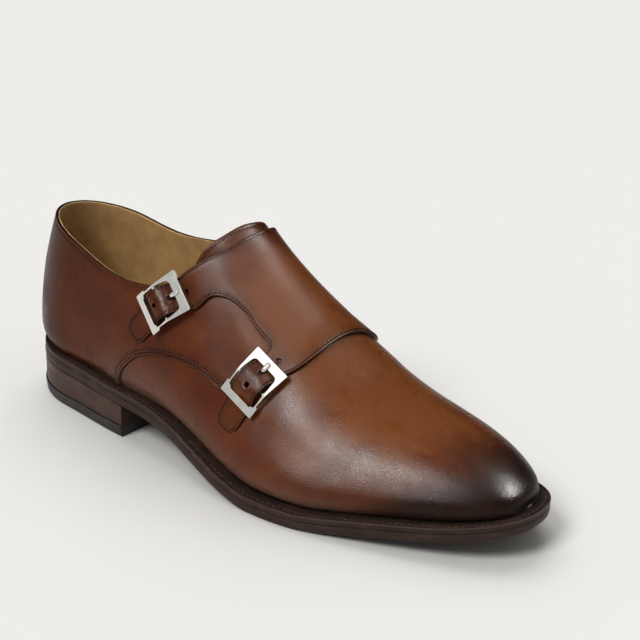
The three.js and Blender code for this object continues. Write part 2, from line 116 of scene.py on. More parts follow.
# How far the back of the heel stands forward of its fullest point, by height over the sole.
HEEL_CURVE = np.array([(0, 0.6), (12, -0.7), (24, -1.0), (42, -0.2), (62, 3.6), (80, 8.5), (110, 19)])
# Collar and throat: at, outer angle, inner angle.
OPENING = np.array([
    (0.00, 35.2, 144.8), (0.10, 32.8, 147.0), (0.20, 29.0, 148.6), (0.30, 29.8, 145.3),
    (0.39, 38.4, 137.7), (0.44, 49.0, 128.5), (0.51, 62.0, 118.0), (0.60, 67.0, 113.0),
    (1.00, 66.0, 114.0),
])
# Panel edges as rows of x and angle.
WING_OUTER = [(79, 0), (80, 2.5), (84, 6.5), (91, 10.2), (100, 13), (111, 15.5), (124, 18.7), (140, 22),
              (149, 23.4), (156, 25.7), (163, 31.3), (169, 40), (174, 51), (177, 61), (177.6, 66)]
WING_INNER = [(160, 168), (150, 165.5), (138, 163.8), (124, 163), (111, 164), (100, 166.3), (91, 169.6),
              (84, 173.6), (80, 177.5), (79, 180)]
FLAP_TOP = [(122, 126), (131, 110), (134.5, 93), (133.5, 79), (128.5, 62)]
COLLAR_END = 112.0
FLAP_FRONT = [(184.4, 60), (187, 77), (189, 97), (189.5, 116), (181.5, 138), (170, 156), (160, 168)]
FLAP_ARCH = [(129.7, 42.6), (135.6, 47.6), (143.4, 51), (151.3, 52.1), (157.3, 51.5)]
TONGUE_TOP = [(112, 40), (114.5, 44.5), (116.3, 49), (119.3, 55), (122.7, 61.6), (125.7, 69), (128.3, 79),
              (130, 90), (129, 105), (127, 117), (131, 124)]

# The buckles: place of the centre bar, strap heading back from down, height of the bar.
BUCKLES = {
    "rear": dict(x=106.1, angle=28.9, heading=46, crown=5.0),
    "front": dict(x=166.2, angle=35.9, heading=24, crown=3.6),
}
STRAP_HALF = 7.3
ROOT_REACH = 17.0
ROOT_SPREAD = 8.6
STRAP_RISE = np.array([
    (-17, 0), (-13.5, 0), (-9.8, 0.02), (-7.6, 0.25), (-5.6, 0.62), (-2.6, 0.95), (0, 1), (2.6, 0.95),
    (5.2, 0.62), (7.4, 0.25), (9.4, 0.02), (12.5, 0), (17, 0), (22, 0), (25.5, 0),
])
STRAP_END = 25.5
STRAP_HOLES = (-16.0, -6.4, 1.6)
HOLE_RADIUS = 1.05
FRAME_THICKNESS = 1.6
FRAME_HALF = 10.75
FRAME_SLOPE = 0.19
BAR_CLEARANCE = 0.4


def spline(xs, ys):
    """Natural cubic spline through ys at xs; it runs on past both ends."""
    xs = np.asarray(xs, float)
    ys = np.asarray(ys, float)
    count = len(xs)
    step = np.diff(xs)
    system = np.eye(count)
    right = np.zeros(count)
    for i in range(1, count - 1):
        system[i, i - 1:i + 2] = step[i - 1], 2 * (step[i - 1] + step[i]), step[i]
        right[i] = 6 * ((ys[i + 1] - ys[i]) / step[i] - (ys[i] - ys[i - 1]) / step[i - 1])
    bend = np.linalg.solve(system, right)

    def at(x):
        x = np.asarray(x, float)
        i = np.clip(np.searchsorted(xs, x, side="right") - 1, 0, count - 2)
        past = x - xs[i]
        left = xs[i + 1] - x
        cubic = (bend[i] * left**3 + bend[i + 1] * past**3) / (6 * step[i])
        return (cubic + (ys[i] / step[i] - bend[i] * step[i] / 6) * left
                + (ys[i + 1] / step[i] - bend[i + 1] * step[i] / 6) * past)

    return at


def smoothstep(value, low, high):
    share = np.clip((value - low) / (high - low), 0, 1)
    return share * share * (3 - 2 * share)


outer_half, inner_half, ridge_shift = (
    spline(SECTIONS[:, 0] * LENGTH, SECTIONS[:, k] * BALL_WIDTH) for k in (1, 2, 3))
top_height = spline(SECTIONS[:, 0] * LENGTH, SECTIONS[:, 4] * INSTEP_HEIGHT)
sole_line = spline(SECTIONS[:, 0] * LENGTH, SECTIONS[:, 5] * HEEL_HEIGHT)
welt_reach = spline(SECTIONS[:, 0] * LENGTH, SECTIONS[:, 6])
heel_forward = spline(HEEL_CURVE[:, 0], HEEL_CURVE[:, 1])
outer_edge = spline(OPENING[:, 0] * LENGTH, np.radians(OPENING[:, 1]))
inner_edge = spline(OPENING[:, 0] * LENGTH, np.radians(OPENING[:, 2]))
rise_share = spline(STRAP_RISE[:, 0], STRAP_RISE[:, 1])


# ---------------------------------------------------------------- the last
def feather_height(x):
    return np.maximum(sole_line(x), SOLE_ALLOWANCE)


def along(turn):
    return LENGTH * (1 - np.cos(turn)) / 2


def turn_at(x):
    return np.arccos(1 - 2 * np.clip(np.asarray(x, float) / LENGTH, 0, 1))


def end_rounding(x):
    heel = np.clip(1 - x / HEEL_ROUND, 0, 1)
    toe = np.clip((x / LENGTH - TOE_ROUND) / (1 - TOE_ROUND), 0, 1)
    return np.sqrt(1 - heel * heel) * (1 - toe**TOE_POWER)**(1 / TOE_POWER)


def ridge_height(x):
    drop = np.clip((x / LENGTH - TOE_DROP_START) / (1 - TOE_DROP_START), 0, 1)
    return top_height(x) * (1 - drop**TOE_DROP_POWER)**(1 / TOE_DROP_POWER)


def outline(turn, side):
    """Plan point of the widest outline on one side (-1 outer, 1 inner), and the way out from it."""
    turn = np.asarray(turn, float)
    half = outer_half if side < 0 else inner_half
    step = 1e-3

    def place(t):
        x = along(t)
        return np.stack([x, side * half(x) * end_rounding(x)], -1)

    before = place(np.maximum(turn - step, 0))
    after = place(np.minimum(turn + step, math.pi))
    way = after - before
    out = side * np.stack([-way[..., 1], way[..., 0]], -1)
    out /= np.linalg.norm(out, axis=-1, keepdims=True)
    out = np.where((turn < step)[..., None], (-1.0, 0.0), out)
    out = np.where((turn > math.pi - step)[..., None], (1.0, 0.0), out)
    return place(turn), out


def last_point(turn, angle):
    turn, angle = np.broadcast_arrays(np.asarray(turn, float), np.asarray(angle, float))
    x = along(turn)
    rounding = end_rounding(x)
    outer = outer_half(x) * rounding
    inner = inner_half(x) * rounding
    middle = (inner - outer) / 2
    high = np.sin(angle)
    rise = ridge_height(x) * high
    y = middle + (ridge_shift(x) * rounding - middle) * high**2 - np.cos(angle) * (outer + inner) / 2
    put = x + heel_forward(rise) * np.clip(1 - x / HEEL_CURVE_END, 0, 1)**2
    turn_in = TUCK * np.clip(1 - rise / TUCK_HEIGHT, 0, 1)**2
    share = ((1 + np.cos(angle)) / 2)[..., None]
    way = outline(turn, -1)[1] * share + outline(turn, 1)[1] * (1 - share)
    return np.stack([put - turn_in * way[..., 0], y - turn_in * way[..., 1],
                     feather_height(put) + GAP + rise], -1)


def last_slopes(turn, angle):
    """How the last's point moves with turn and with angle."""
    step = 2e-3
    turn = np.clip(turn, step, math.pi - step)
    per_turn = (last_point(turn + step, angle) - last_point(turn - step, angle)) / (2 * step)
    low = np.maximum(angle - step, 0)
    high = np.minimum(angle + step, math.pi)
    per_angle = (last_point(turn, high) - last_point(turn, low)) / (high - low)[..., None]
    return per_turn, per_angle


def unit(vectors):
    return vectors / np.linalg.norm(vectors, axis=-1, keepdims=True)


def last_normal(turn, angle):
    turn, angle = np.broadcast_arrays(np.asarray(turn, float), np.asarray(angle, float))
    return unit(np.cross(*last_slopes(turn, angle)))


def on_last(turn, angle, height):
    """A point a given height outside the last."""
    return last_point(turn, angle) + last_normal(turn, angle) * np.asarray(height)[..., None]


def spots(rows):
    """Rows of x and angle in degrees as spots."""
    rows = np.asarray(rows, float)
    return np.stack([turn_at(rows[:, 0]), np.radians(rows[:, 1])], -1)


def nudge(at, moves):
    """Spots moved over the last by given 3-D moves."""
    per_turn, per_angle = last_slopes(at[:, 0], at[:, 1])
    tt = (per_turn**2).sum(-1)
    ta = (per_turn * per_angle).sum(-1)
    aa = (per_angle**2).sum(-1)
    wt = (moves * per_turn).sum(-1)
    wa = (moves * per_angle).sum(-1)
    det = tt * aa - ta * ta
    step = np.stack([(wt * aa - wa * ta) / det, (wa * tt - wt * ta) / det], -1)
    return at + step


def spread(at, spacing, smooth=True):
    """A curve through spots, resampled at an even spacing in mm."""
    at = np.asarray(at, float)
    if smooth and len(at) > 2:
        gaps = np.linalg.norm(np.diff(last_point(at[:, 0], at[:, 1]), axis=0), axis=1)
        place = np.concatenate([[0], np.cumsum(gaps)])
        fine = np.linspace(0, place[-1], 20 * len(at))
        at = np.stack([spline(place, at[:, 0])(fine), spline(place, at[:, 1])(fine)], -1)
    else:
        share = np.linspace(0, 1, 200)[:, None]
        at = np.concatenate([a + (b - a) * share[:-1] for a, b in zip(at[:-1], at[1:])] + [at[-1:]])
    at[:, 0] = np.clip(at[:, 0], 0, math.pi)
    at[:, 1] = np.clip(at[:, 1], 0, math.pi)
    gaps = np.linalg.norm(np.diff(last_point(at[:, 0], at[:, 1]), axis=0), axis=1)
    place = np.concatenate([[0], np.cumsum(gaps)])
    even = np.linspace(0, place[-1], max(int(round(place[-1] / spacing)), 1) + 1)
    return np.stack([np.interp(even, place, at[:, 0]), np.interp(even, place, at[:, 1])], -1)


def sideways(at, closed=False):
    """The unit way to the left of a curve of spots, along the last."""
    points = last_point(at[:, 0], at[:, 1])
    if closed:
        tangent = np.roll(points, -1, 0) - np.roll(points, 1, 0)
    else:
        tangent = np.gradient(points, axis=0)
    return unit(np.cross(last_normal(at[:, 0], at[:, 1]), unit(tangent)))


def beside(at, distance):
    """The curve a distance in mm to the left of an open curve."""
    return nudge(at, sideways(at) * distance)


# ---------------------------------------------------------------- buckles' own frames
class StrapFrame:
    """Flat frame on the last at a buckle: u down the strap, v towards the toe, w out."""

    def __init__(self, x, angle, heading, crown):
        self.spot = np.array([turn_at(x), math.radians(angle)])
        self.crown = crown
        self.origin = last_point(*self.spot)
        self.w = last_normal(*self.spot)
        self.per_turn, self.per_angle = last_slopes(*self.spot)
        down = unit(-self.per_angle)
        back = unit(np.cross(self.w, down))
        if back[0] > 0:
            back = -back
        lean = math.radians(heading)
        self.u = down * math.cos(lean) + back * math.sin(lean)
        self.v = np.cross(self.w, self.u)
        if self.v[0] < 0:
            self.v = -self.v
        step = 1e-3
        at = along(self.spot[0]) + step
        self.per_x = (last_point(turn_at(at), self.spot[1]) - self.origin) / step
        metric = np.array([[self.per_x @ self.per_x, self.per_x @ self.per_angle],
                           [self.per_x @ self.per_angle, self.per_angle @ self.per_angle]])
        self.solve = np.linalg.inv(metric)
        ways = np.array([[self.u @ self.per_x, self.v @ self.per_x],
                         [self.u @ self.per_angle, self.v @ self.per_angle]])
        self.moves = self.solve @ ways

    def rows(self, u, v):
        """x and angle in degrees of a place down and across the strap."""
        u, v = np.broadcast_arrays(np.asarray(u, float), np.asarray(v, float))
        x = along(self.spot[0]) + u * self.moves[0, 0] + v * self.moves[0, 1]
        angle = self.spot[1] + u * self.moves[1, 0] + v * self.moves[1, 1]
        return np.stack([x, np.degrees(angle)], -1)

    def place(self, at):
        """u and v of spots."""
        move = np.stack([along(at[..., 0]) - along(self.spot[0]), at[..., 1] - self.spot[1]])
        return np.linalg.inv(self.moves) @ move.reshape(2, -1)

    def point(self, u, v, w):
        u, v, w = (np.asarray(k, float)[..., None] for k in (u, v, w))
        return self.origin + self.u * u + self.v * v + self.w * w

    def bar_top(self):
        return self.crown + FRAME_THICKNESS + BAR_CLEARANCE


STRAPS = {name: StrapFrame(**row) for name, row in BUCKLES.items()}


# ---------------------------------------------------------------- outlines
def strap_sides(strap):
    """The strap's outline from its rear root round the chiselled tip to its front root."""
    rear = [(u, -STRAP_HALF) for u in (-12.0, -6.0, 2.0, 10.0, 20.5)]
    tip = [(21.6, -7.1), (22.3, -6.6), (24.8, -4.7), (25.3, -4.0), (STRAP_END, 0), (25.3, 4.0), (24.8, 4.7),
           (22.3, 6.6), (21.6, 7.1)]
    side = spots(strap.rows(*np.array(rear + tip[:1]).T))
    end = spots(strap.rows(*np.array(tip).T))
    front = spots(strap.rows(*(np.array((rear + tip[:1])[::-1]) * (1, -1)).T))
    return [side, end, front]


def joined(*parts):
    """Open curves end to end as one, without the doubled ends."""
    return np.concatenate([part[:-1] for part in parts[:-1]] + [parts[-1]])


EDGE_STEP = 0.9


def opening_rows(edge, start, end):
    x = np.linspace(start, end, 40)
    return np.stack([turn_at(x), edge(x)], -1)


def root_rows(name, side):
    strap = STRAPS[name]
    return [tuple(row) for row in strap.rows([-12.0, -ROOT_REACH], [side * STRAP_HALF, side * ROOT_SPREAD])]


def flap_edge():
    """The flap's edge from the inner collar over the instep, round both straps, to the sole."""
    rear_root = root_rows("rear", -1)
    collar_end = (COLLAR_END, math.degrees(inner_edge(COLLAR_END)))
    top = spread(spots([collar_end] + FLAP_TOP + rear_root[::-1]), EDGE_STEP)
    rear = joined(*[spread(part, EDGE_STEP, smooth=False) for part in strap_sides(STRAPS["rear"])])
    arch = spread(spots(root_rows("rear", 1) + FLAP_ARCH + root_rows("front", -1)[::-1]), EDGE_STEP)
    front = joined(*[spread(part, EDGE_STEP, smooth=False) for part in strap_sides(STRAPS["front"])])
    low = spread(spots(root_rows("front", 1) + FLAP_FRONT), EDGE_STEP)
    return joined(top, rear, arch, front, low)


def inner_outline():
    collar = spread(opening_rows(inner_edge, 0, COLLAR_END), EDGE_STEP, smooth=False)
    wing = spread(spots(WING_INNER), EDGE_STEP)
    bottom = spread(spots([(79, 180), (0, 180)]), EDGE_STEP, smooth=False)
    back = spread(spots([(0, 180), (0, math.degrees(inner_edge(0)))]), EDGE_STEP, smooth=False)
    return {"collar": collar, "flap": flap_edge(), "wing": wing, "bottom": bottom, "back": back}


def outer_outline():
    bottom = spread(spots([(0, 0), (79, 0)]), EDGE_STEP, smooth=False)
    wing = spread(spots(WING_OUTER), EDGE_STEP)
    collar = spread(opening_rows(outer_edge, THROAT_END, 0), EDGE_STEP, smooth=False)
    back = spread(spots([(0, math.degrees(outer_edge(0))), (0, 0)]), EDGE_STEP, smooth=False)
    return {"bottom": bottom, "wing": wing, "collar": collar, "back": back}


INNER = inner_outline()
OUTER = outer_outline()


# ---------------------------------------------------------------- distances and panel heights
def tree_of(points):
    tree = KDTree(len(points))
    for i, point in enumerate(points):
        tree.insert(point, i)
    tree.balance()
    return tree


def nearest(tree, points):
    found = [tree.find(point) for point in points]
    return np.array([row[2] for row in found]), np.array([row[1] for row in found])


def inside(points, loops):
    """Whether plane points lie inside closed loops, by crossing count."""
    result = np.zeros(len(points), bool)
    x, y = points[:, 0], points[:, 1]
    for loop in loops:
        for (ax, ay), (bx, by) in zip(loop, np.roll(loop, -1, 0)):
            if ay == by:
                continue
            crosses = ((ay > y) != (by > y)) & (x < (bx - ax) * (y - ay) / (by - ay) + ax)
            result ^= crosses
    return result


TURNS = np.linspace(0, math.pi, 600)
REACHES = np.concatenate([[0], np.cumsum(np.linalg.norm(
    np.diff(last_point(TURNS, math.radians(30)), axis=0), axis=1))])
ANGLE_SPAN = 60.0


def pattern(at):
    """Spots as places on a roughly even plane, mm."""
    return np.stack([np.interp(at[:, 0], TURNS, REACHES), at[:, 1] * ANGLE_SPAN], -1)


def from_pattern(plane):
    return np.stack([np.interp(plane[:, 0], REACHES, TURNS), plane[:, 1] / ANGLE_SPAN], -1)


def seam_tree(at):
    return tree_of(last_point(at[:, 0], at[:, 1]))


def region_behind(seam, low, high):
    """The area behind a seam that runs up from the sole, reaching past the last's own edges."""
    plane = pattern(spread(spots(seam), 0.5))
    low, high = math.radians(low) * ANGLE_SPAN, math.radians(high) * ANGLE_SPAN
    return np.array([(-5, low), (plane[0, 0], low), *plane, (plane[-1, 0], high), (-5, high)])


SEAMS = {"outer": WING_OUTER, "inner": (FLAP_FRONT[3:] + WING_INNER[1:])[::-1]}
WING_TREES = {side: seam_tree(spread(spots(seam), 0.5)) for side, seam in SEAMS.items()}
WING_REGIONS = {"outer": region_behind(SEAMS["outer"], -5, 100),
                "inner": region_behind(SEAMS["inner"], 185, 80)}


def behind_wing(at, side):
    """Distance from a wing seam in mm, negative on the vamp's side."""
    distance = nearest(WING_TREES[side], last_point(at[:, 0], at[:, 1]))[0]
    return np.where(inside(pattern(at), [WING_REGIONS[side]]), distance, -distance)


def quarter_level(distance):
    """Height of a quarter's outside: it stands proud where it lies on the vamp."""
    return 0.1 + 1.05 * np.exp(-(np.maximum(distance, 0) / 13)**2)


def draped_level(distance):
    """The same where leather over it falls from the quarter to the vamp."""
    return quarter_level(distance) * smoothstep(distance, -5, 0)


VAMP_UNDERLAP = 11.0


def vamp_levels(at):
    """Outside and inside of the vamp, skived thin where it runs under the quarters."""
    inner_side = at[:, 1] > inner_edge(along(at[:, 0]))
    under = np.maximum(behind_wing(at, "outer"), np.where(inner_side, behind_wing(at, "inner"), -1))
    top = np.where(under > 0, np.minimum(0, quarter_level(under) - QUARTER_THICKNESS - 0.05), 0)
    bottom = top - QUARTER_THICKNESS + 0.65 * smoothstep(under, 0, VAMP_UNDERLAP)
    return top + low_swell(at), bottom, under


def low_swell(at):
    """How far the leather swells out just above the welt, most of all at the waist."""
    x = along(at[:, 0])
    degrees = np.degrees(np.minimum(at[:, 1], math.pi - at[:, 1]))
    swell = 1.0 + 2.0 * smoothstep(x, 82, 128) * (1 - smoothstep(x, 185, 240))
    return swell * smoothstep(degrees, 0.3, 3) * (1 - smoothstep(degrees, 5, 28))


def outer_levels(at):
    top = quarter_level(behind_wing(at, "outer"))
    return top + low_swell(at), top - QUARTER_THICKNESS


def inner_levels(at):
    """Top and underside of the inner quarter, the flap and its straps."""
    x = along(at[:, 0])
    degrees = np.degrees(at[:, 1])
    quarter = quarter_level(behind_wing(at, "inner"))
    flap = np.where(degrees < 90, 1, smoothstep(x, 98, 126) * (1 - smoothstep(degrees, 150, 172)))
    under = 0.15 + draped_level(behind_wing(at, "outer")) * (1 - smoothstep(degrees, 33, 56))
    bottom = np.where(degrees > 90, 0.3, np.maximum(0.3, under))
    thickness = QUARTER_THICKNESS + (FLAP_THICKNESS - QUARTER_THICKNESS) * flap
    bottom = (quarter - QUARTER_THICKNESS) * (1 - flap) + bottom * flap
    for strap in STRAPS.values():
        u, v = strap.place(at)
        on_strap = (u > -14) & (abs(v) < ROOT_SPREAD) & (degrees < 90)
        lift = rise_share(np.clip(u, -17, STRAP_END)) * (strap.bar_top() - GAP)
        raised = bottom + np.maximum(lift, 0)
        over = strap.bar_top() + (bottom - 0.3) * smoothstep(abs(u), 3, 9)
        bottom = np.where(on_strap, np.where(abs(u) < 9, np.minimum(raised, over), raised), bottom)
    return bottom + thickness + low_swell(at) * (1 - flap), bottom


# ---------------------------------------------------------------- mesh making
SOLE_LOW = np.array([
    min((outline(TURNS, side)[0] + outline(TURNS, side)[1] * welt_reach(along(TURNS))[:, None])[:, k].min()
        for side in (-1, 1)) for k in (0, 1)])
SHIFT = np.append(np.array(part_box("outsole")[0])[:2] * 1000 - SOLE_LOW, 0.0)


def make_piece(name, points, faces, material, replaces=(), fields=None, sharp=40):
    """A smooth-shaded piece in the row frame, made of points in mm."""
    mesh = bpy.data.meshes.new(name)
    mesh.from_pydata(((np.asarray(points) + SHIFT) / 1000).tolist(), [], [list(f) for f in faces])
    for field, values in (fields or {}).items():
        layer = mesh.attributes.new(field, "FLOAT", "POINT")
        layer.data.foreach_set("value", np.asarray(values, np.float32))
    work = bmesh.new()
    work.from_mesh(mesh)
    bmesh.ops.remove_doubles(work, verts=work.verts, dist=2e-6)
    bmesh.ops.dissolve_degenerate(work, edges=work.edges, dist=1e-6)
    bmesh.ops.recalc_face_normals(work, faces=work.faces)
    work.to_mesh(mesh)
    work.free()
    mesh.polygons.foreach_set("use_smooth", np.ones(len(mesh.polygons), bool))
    mesh.set_sharp_from_angle(angle=math.radians(sharp))
    mesh.materials.append(material)
    piece = bpy.data.objects.new(name, mesh)
    bpy.context.scene.collection.objects.link(piece)
    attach(piece, "root")
    if replaces:
        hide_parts(*replaces)
    return piece


def grid_faces(rows, columns, close_rows=False, close_columns=False, has=None):
    faces = []
    for i in range(rows - (0 if close_rows else 1)):
        for j in range(columns - (0 if close_columns else 1)):
            if has is None or has(i, j):
                a, b = i * columns + j, (i + 1) % rows * columns + j
                c, d = (i + 1) % rows * columns + (j + 1) % columns, i * columns + (j + 1) % columns
                faces.append((a, b, c, d))
    return faces


def closed_shell(outer, inner, has=None):
    """A solid between two grids of points, leaving out cells where has(i, j) is false."""
    rows, columns = outer.shape[:2]
    cells = [(i, j) for i in range(rows - 1) for j in range(columns - 1) if has is None or has(i, j)]
    filled = set(cells)
    under = rows * columns
    faces = []
    for i, j in cells:
        a, b, c, d = (i * columns + j, (i + 1) * columns + j,
                      (i + 1) * columns + j + 1, i * columns + j + 1)
        faces += [(a, b, c, d), (a + under, d + under, c + under, b + under)]
        for side, p, q in (((i - 1, j), d, a), ((i + 1, j), b, c), ((i, j - 1), a, b), ((i, j + 1), c, d)):
            if side not in filled and not (side[0] < 0 or side[0] > rows - 2):
                faces.append((q, p, p + under, q + under))
    points = np.concatenate([outer.reshape(-1, 3), inner.reshape(-1, 3)])
    used = np.unique(np.concatenate([np.array(f) for f in faces]))
    index = np.full(len(points), -1)
    index[used] = np.arange(len(used))
    return points[used], [tuple(index[list(f)]) for f in faces], used


# Distances in from an edge at which a panel has a ring of points.
RINGS = (0.12, 0.3, 0.55, 0.85, 1.15, 1.35, 1.55, 1.85, 2.3, 2.75, 3.1, 3.45)


class Panel:
    """Leather cut to closed loops of spots, with rounded edges and grooves under its stitches."""

    def __init__(self, edges, levels, holes=(), soft=0.6, lattice=1.7, grooves=(), straps=()):
        self.levels = levels
        self.loop = joined(*edges, edges[0][:1])[:-1] if len(edges) > 1 else edges[0][:-1]
        self.loops = [self.loop, *holes]
        self.tree = tree_of(np.concatenate([last_point(*loop.T) for loop in self.loops]))
        self.soft = soft
        self.grooves = [seam_tree(spread(row, 0.4, smooth=False)) for row in grooves]
        self.build(lattice, straps)

    def fill(self, spacing, straps):
        """Points between the rings, closer together on the straps."""
        plane = pattern(self.loop)
        low, high = plane.min(0), plane.max(0)
        rows = []
        for k, y in enumerate(np.arange(low[1], high[1], spacing * 0.866)):
            rows.append(np.stack([np.arange(low[0] + spacing * (k % 2) / 2, high[0], spacing),
                                  np.full_like(np.arange(low[0] + spacing * (k % 2) / 2, high[0], spacing), y)], -1))
        at = from_pattern(np.concatenate(rows))
        for strap in straps:
            u, v = strap.place(at)
            at = at[~((u > -14) & (abs(v) < 10) & (at[:, 1] < math.pi / 2) & (u < 27))]
        for strap in straps:
            u, v = np.meshgrid(np.arange(-13.6, STRAP_END, 0.7), np.arange(-STRAP_HALF, STRAP_HALF, 0.8))
            at = np.concatenate([at, spots(strap.rows(u.ravel(), v.ravel()))])
        at = at[inside(pattern(at), [pattern(loop) for loop in self.loops])]
        distance = nearest(self.tree, last_point(*at.T))[0]
        return at[distance > RINGS[-1] + spacing * 0.35], distance[distance > RINGS[-1] + spacing * 0.35]

    def build(self, spacing, straps):
        places, depths, edges = [], [], []
        count = 0
        for loop in self.loops:
            number = np.arange(len(loop)) + count
            edges += list(zip(number.tolist(), np.roll(number, -1).tolist()))
            places.append(loop)
            depths.append(np.zeros(len(loop)))
            count += len(loop)
        for loop in self.loops:
            way = sideways(loop, closed=True)
            for ring in RINGS:
                at = nudge(loop, way * ring)
                if ring > 1.5:
                    at = at[::2]
                at = at[(at[:, 0] >= 0) & (at[:, 0] <= math.pi) & (at[:, 1] >= 0) & (at[:, 1] <= math.pi)]
                near = nearest(self.tree, last_point(*at.T))[0]
                keep = (near > ring * 0.93) & inside(pattern(at), [pattern(k) for k in self.loops])
                places.append(at[keep])
                depths.append(np.full(keep.sum(), ring))
        at, distance = self.fill(spacing, straps)
        places.append(at)
        depths.append(distance)
        places = np.concatenate(places)
        depths = np.concatenate(depths)
        plane = pattern(places)
        found = delaunay_2d_cdt([Vector(p) for p in plane], edges, [], 0, 1e-5, True)
        corners = np.array([list(p) for p in found[0]])
        triangles = np.array(found[2])
        centre = corners[triangles].mean(1)
        triangles = triangles[inside(centre, [pattern(loop) for loop in self.loops])]
        source = np.array([ids[0] if ids else -1 for ids in found[3]])
        self.at = np.where((source >= 0)[:, None], places[source], from_pattern(corners))
        self.depth = np.where(source >= 0, depths[source], 1.0)
        self.triangles = triangles

    def surface(self, at, depth=None):
        """Points of the top skin, with the edge rounding where depth is given."""
        top, bottom = self.levels(at)
        base = last_point(*at.T)
        for tree in self.grooves:
            near = nearest(tree, base)[0]
            top = top - 0.2 * np.exp(-(near / 0.42)**2)
        if depth is not None:
            part = 1 - np.clip(depth / self.soft, 0, 1)
            top = top - self.soft * (1 - np.sqrt(1 - part**2)) * 0.9
        normal = last_normal(*at.T)
        return base + normal * top[:, None], base + normal * bottom[:, None]

    def piece(self, name, material, slot, replaces=(), extra=None):
        top, bottom = self.surface(self.at, self.depth)
        used = np.unique(self.triangles)
        index = np.full(len(self.at), -1)
        index[used] = np.arange(len(used))
        triangles = index[self.triangles]
        count = len(used)
        faces = [tuple(t) for t in triangles] + [tuple(t[::-1] + count) for t in triangles]
        sides = set()
        for t in triangles:
            for a, b in zip(t, np.roll(t, -1)):
                sides.add((a, b))
        faces += [(b, a, a + count, b + count) for a, b in sides if (b, a) not in sides]
        at = self.at[used]
        # edge: drives the painted highlight just inside each cut edge and the dark cut edge.
        edge = np.exp(-(self.depth[used] / 0.5)**2)
        # seam: strength of the painted shade along the stitch grooves.
        seam = np.zeros(count)
        for tree in self.grooves:
            seam = np.maximum(seam, np.exp(-(nearest(tree, last_point(*at.T))[0] / 0.45)**2))
        # shade: darker leather near the panel's edges, partly antique dye, partly painted shade.
        shade = np.exp(-(self.depth[used] / 4.5)**2)
        fields = {"edge": np.concatenate([edge, edge]), "seam": np.concatenate([seam, seam]),
                  "shade": np.concatenate([shade, shade])}
        for field, rule in DYE_WEAR_AND_SHEEN.items():
            value = rule(at)
            fields[field] = np.concatenate([value, value])
        return make_piece(name, np.concatenate([top[used], bottom[used]]), faces, material,
                          replaces, fields)


# ---------------------------------------------------------------- painted wear and dye, and a painted floor sheen, by place on the last
def burnish(at):
    """Near-black polish at the toe, lower on the sides, and a little at the counter."""
    x = along(at[:, 0])
    degrees = np.degrees(at[:, 1])
    low = np.exp(-(np.minimum(degrees, 180 - degrees) / 17)**2)
    toe = smoothstep(x + 38 * np.exp(-(np.minimum(degrees, 180 - degrees) / 26)**2), 252, 288)
    sides = 0.35 * low * smoothstep(x, 160, 235)
    heel = 0.5 * (1 - smoothstep(x, 4, 46)) + 0.25 * low * (1 - smoothstep(x, 40, 110))
    return np.clip(np.maximum(toe, sides + heel), 0, 1)


# Lighter and darker clouds in the dye: x, angle, reach in mm, strength.
CLOUDS = [(205, 90, 34, 0.9), (165, 80, 20, 0.3), (232, 70, 26, 0.8), (188, 45, 24, 0.5), (160, 75, 30, 0.8),
          (250, 80, 20, 0.4), (172, 60, 18, 0.35), (120, 80, 22, 0.3), (60, 20, 34, -0.2),
          (100, 22, 20, -0.1), (140, 34, 18, -0.1), (90, 8, 26, -0.2), (150, 8, 30, -0.25),
          (8, 25, 34, -0.9), (14, 60, 30, -0.5)]


# Places with less polish, in the same form.
MATTE = [(148, 42, 18, 0.32), (154, 38, 10, 0.2), (140, 62, 14, 0.25), (165, 62, 16, 0.25), (180, 22, 16, 0.12),
         (120, 72, 14, 0.15)]


def blots(at, table):
    points = last_point(*at.T)
    total = np.zeros(len(at))
    for x, angle, reach, strength in table:
        middle = last_point(turn_at(x), math.radians(angle))
        total += strength * np.exp(-((points - middle)**2).sum(1) / reach**2)
    return total


def clouds(at):
    """The dye's lighter and darker places."""
    return blots(at, CLOUDS)


def matte(at):
    """Leather that the flap shades and keeps from being polished."""
    return blots(at, MATTE)


def painted_floor_sheen(at):
    """Painted sheen: greyish along the welt, as the floor's reflection on the low wall."""
    x = along(at[:, 0])
    degrees = np.degrees(np.minimum(at[:, 1], math.pi - at[:, 1]))
    return 0.6 * np.exp(-(degrees / 8)**2) * smoothstep(x, 50, 90) * (1 - smoothstep(x, 215, 245))


# Fields for the leather: burnish, dye clouds, less polish, and the painted floor sheen.
DYE_WEAR_AND_SHEEN = {"burnish": burnish, "cloud": clouds, "matte": matte, "painted_floor_sheen": painted_floor_sheen}


# ---------------------------------------------------------------- materials
def material(name):
    made = bpy.data.materials.new(name)
    made.use_nodes = True
    tree = made.node_tree
    return made, tree, tree.nodes["Principled BSDF"]


def node(tree, kind, **settings):
    made = tree.nodes.new(kind)
    for key, value in settings.items():
        if key in ("inputs",):
            for socket, number in value.items():
                made.inputs[socket].default_value = number
        else:
            setattr(made, key, value)
    return made


def noise(tree, coordinates, scale, detail=3.0, roughness=0.5, distortion=0.0):
    made = node(tree, "ShaderNodeTexNoise", inputs={
        "Scale": scale, "Detail": detail, "Roughness": roughness, "Distortion": distortion})
    tree.links.new(coordinates, made.inputs["Vector"])
    return made.outputs["Fac"]


def ramp(tree, factor, stops):
    made = tree.nodes.new("ShaderNodeValToRGB")
    made.color_ramp.interpolation = "EASE"
    for _ in range(len(stops) - 2):
        made.color_ramp.elements.new(0.5)
    for element, (place, colour) in zip(made.color_ramp.elements, stops):
        element.position = place
        element.color = (*colour, 1.0) if len(colour) == 3 else colour
    tree.links.new(factor, made.inputs["Fac"])
    return made.outputs["Color"]


def grey(value):
    return (value, value, value)


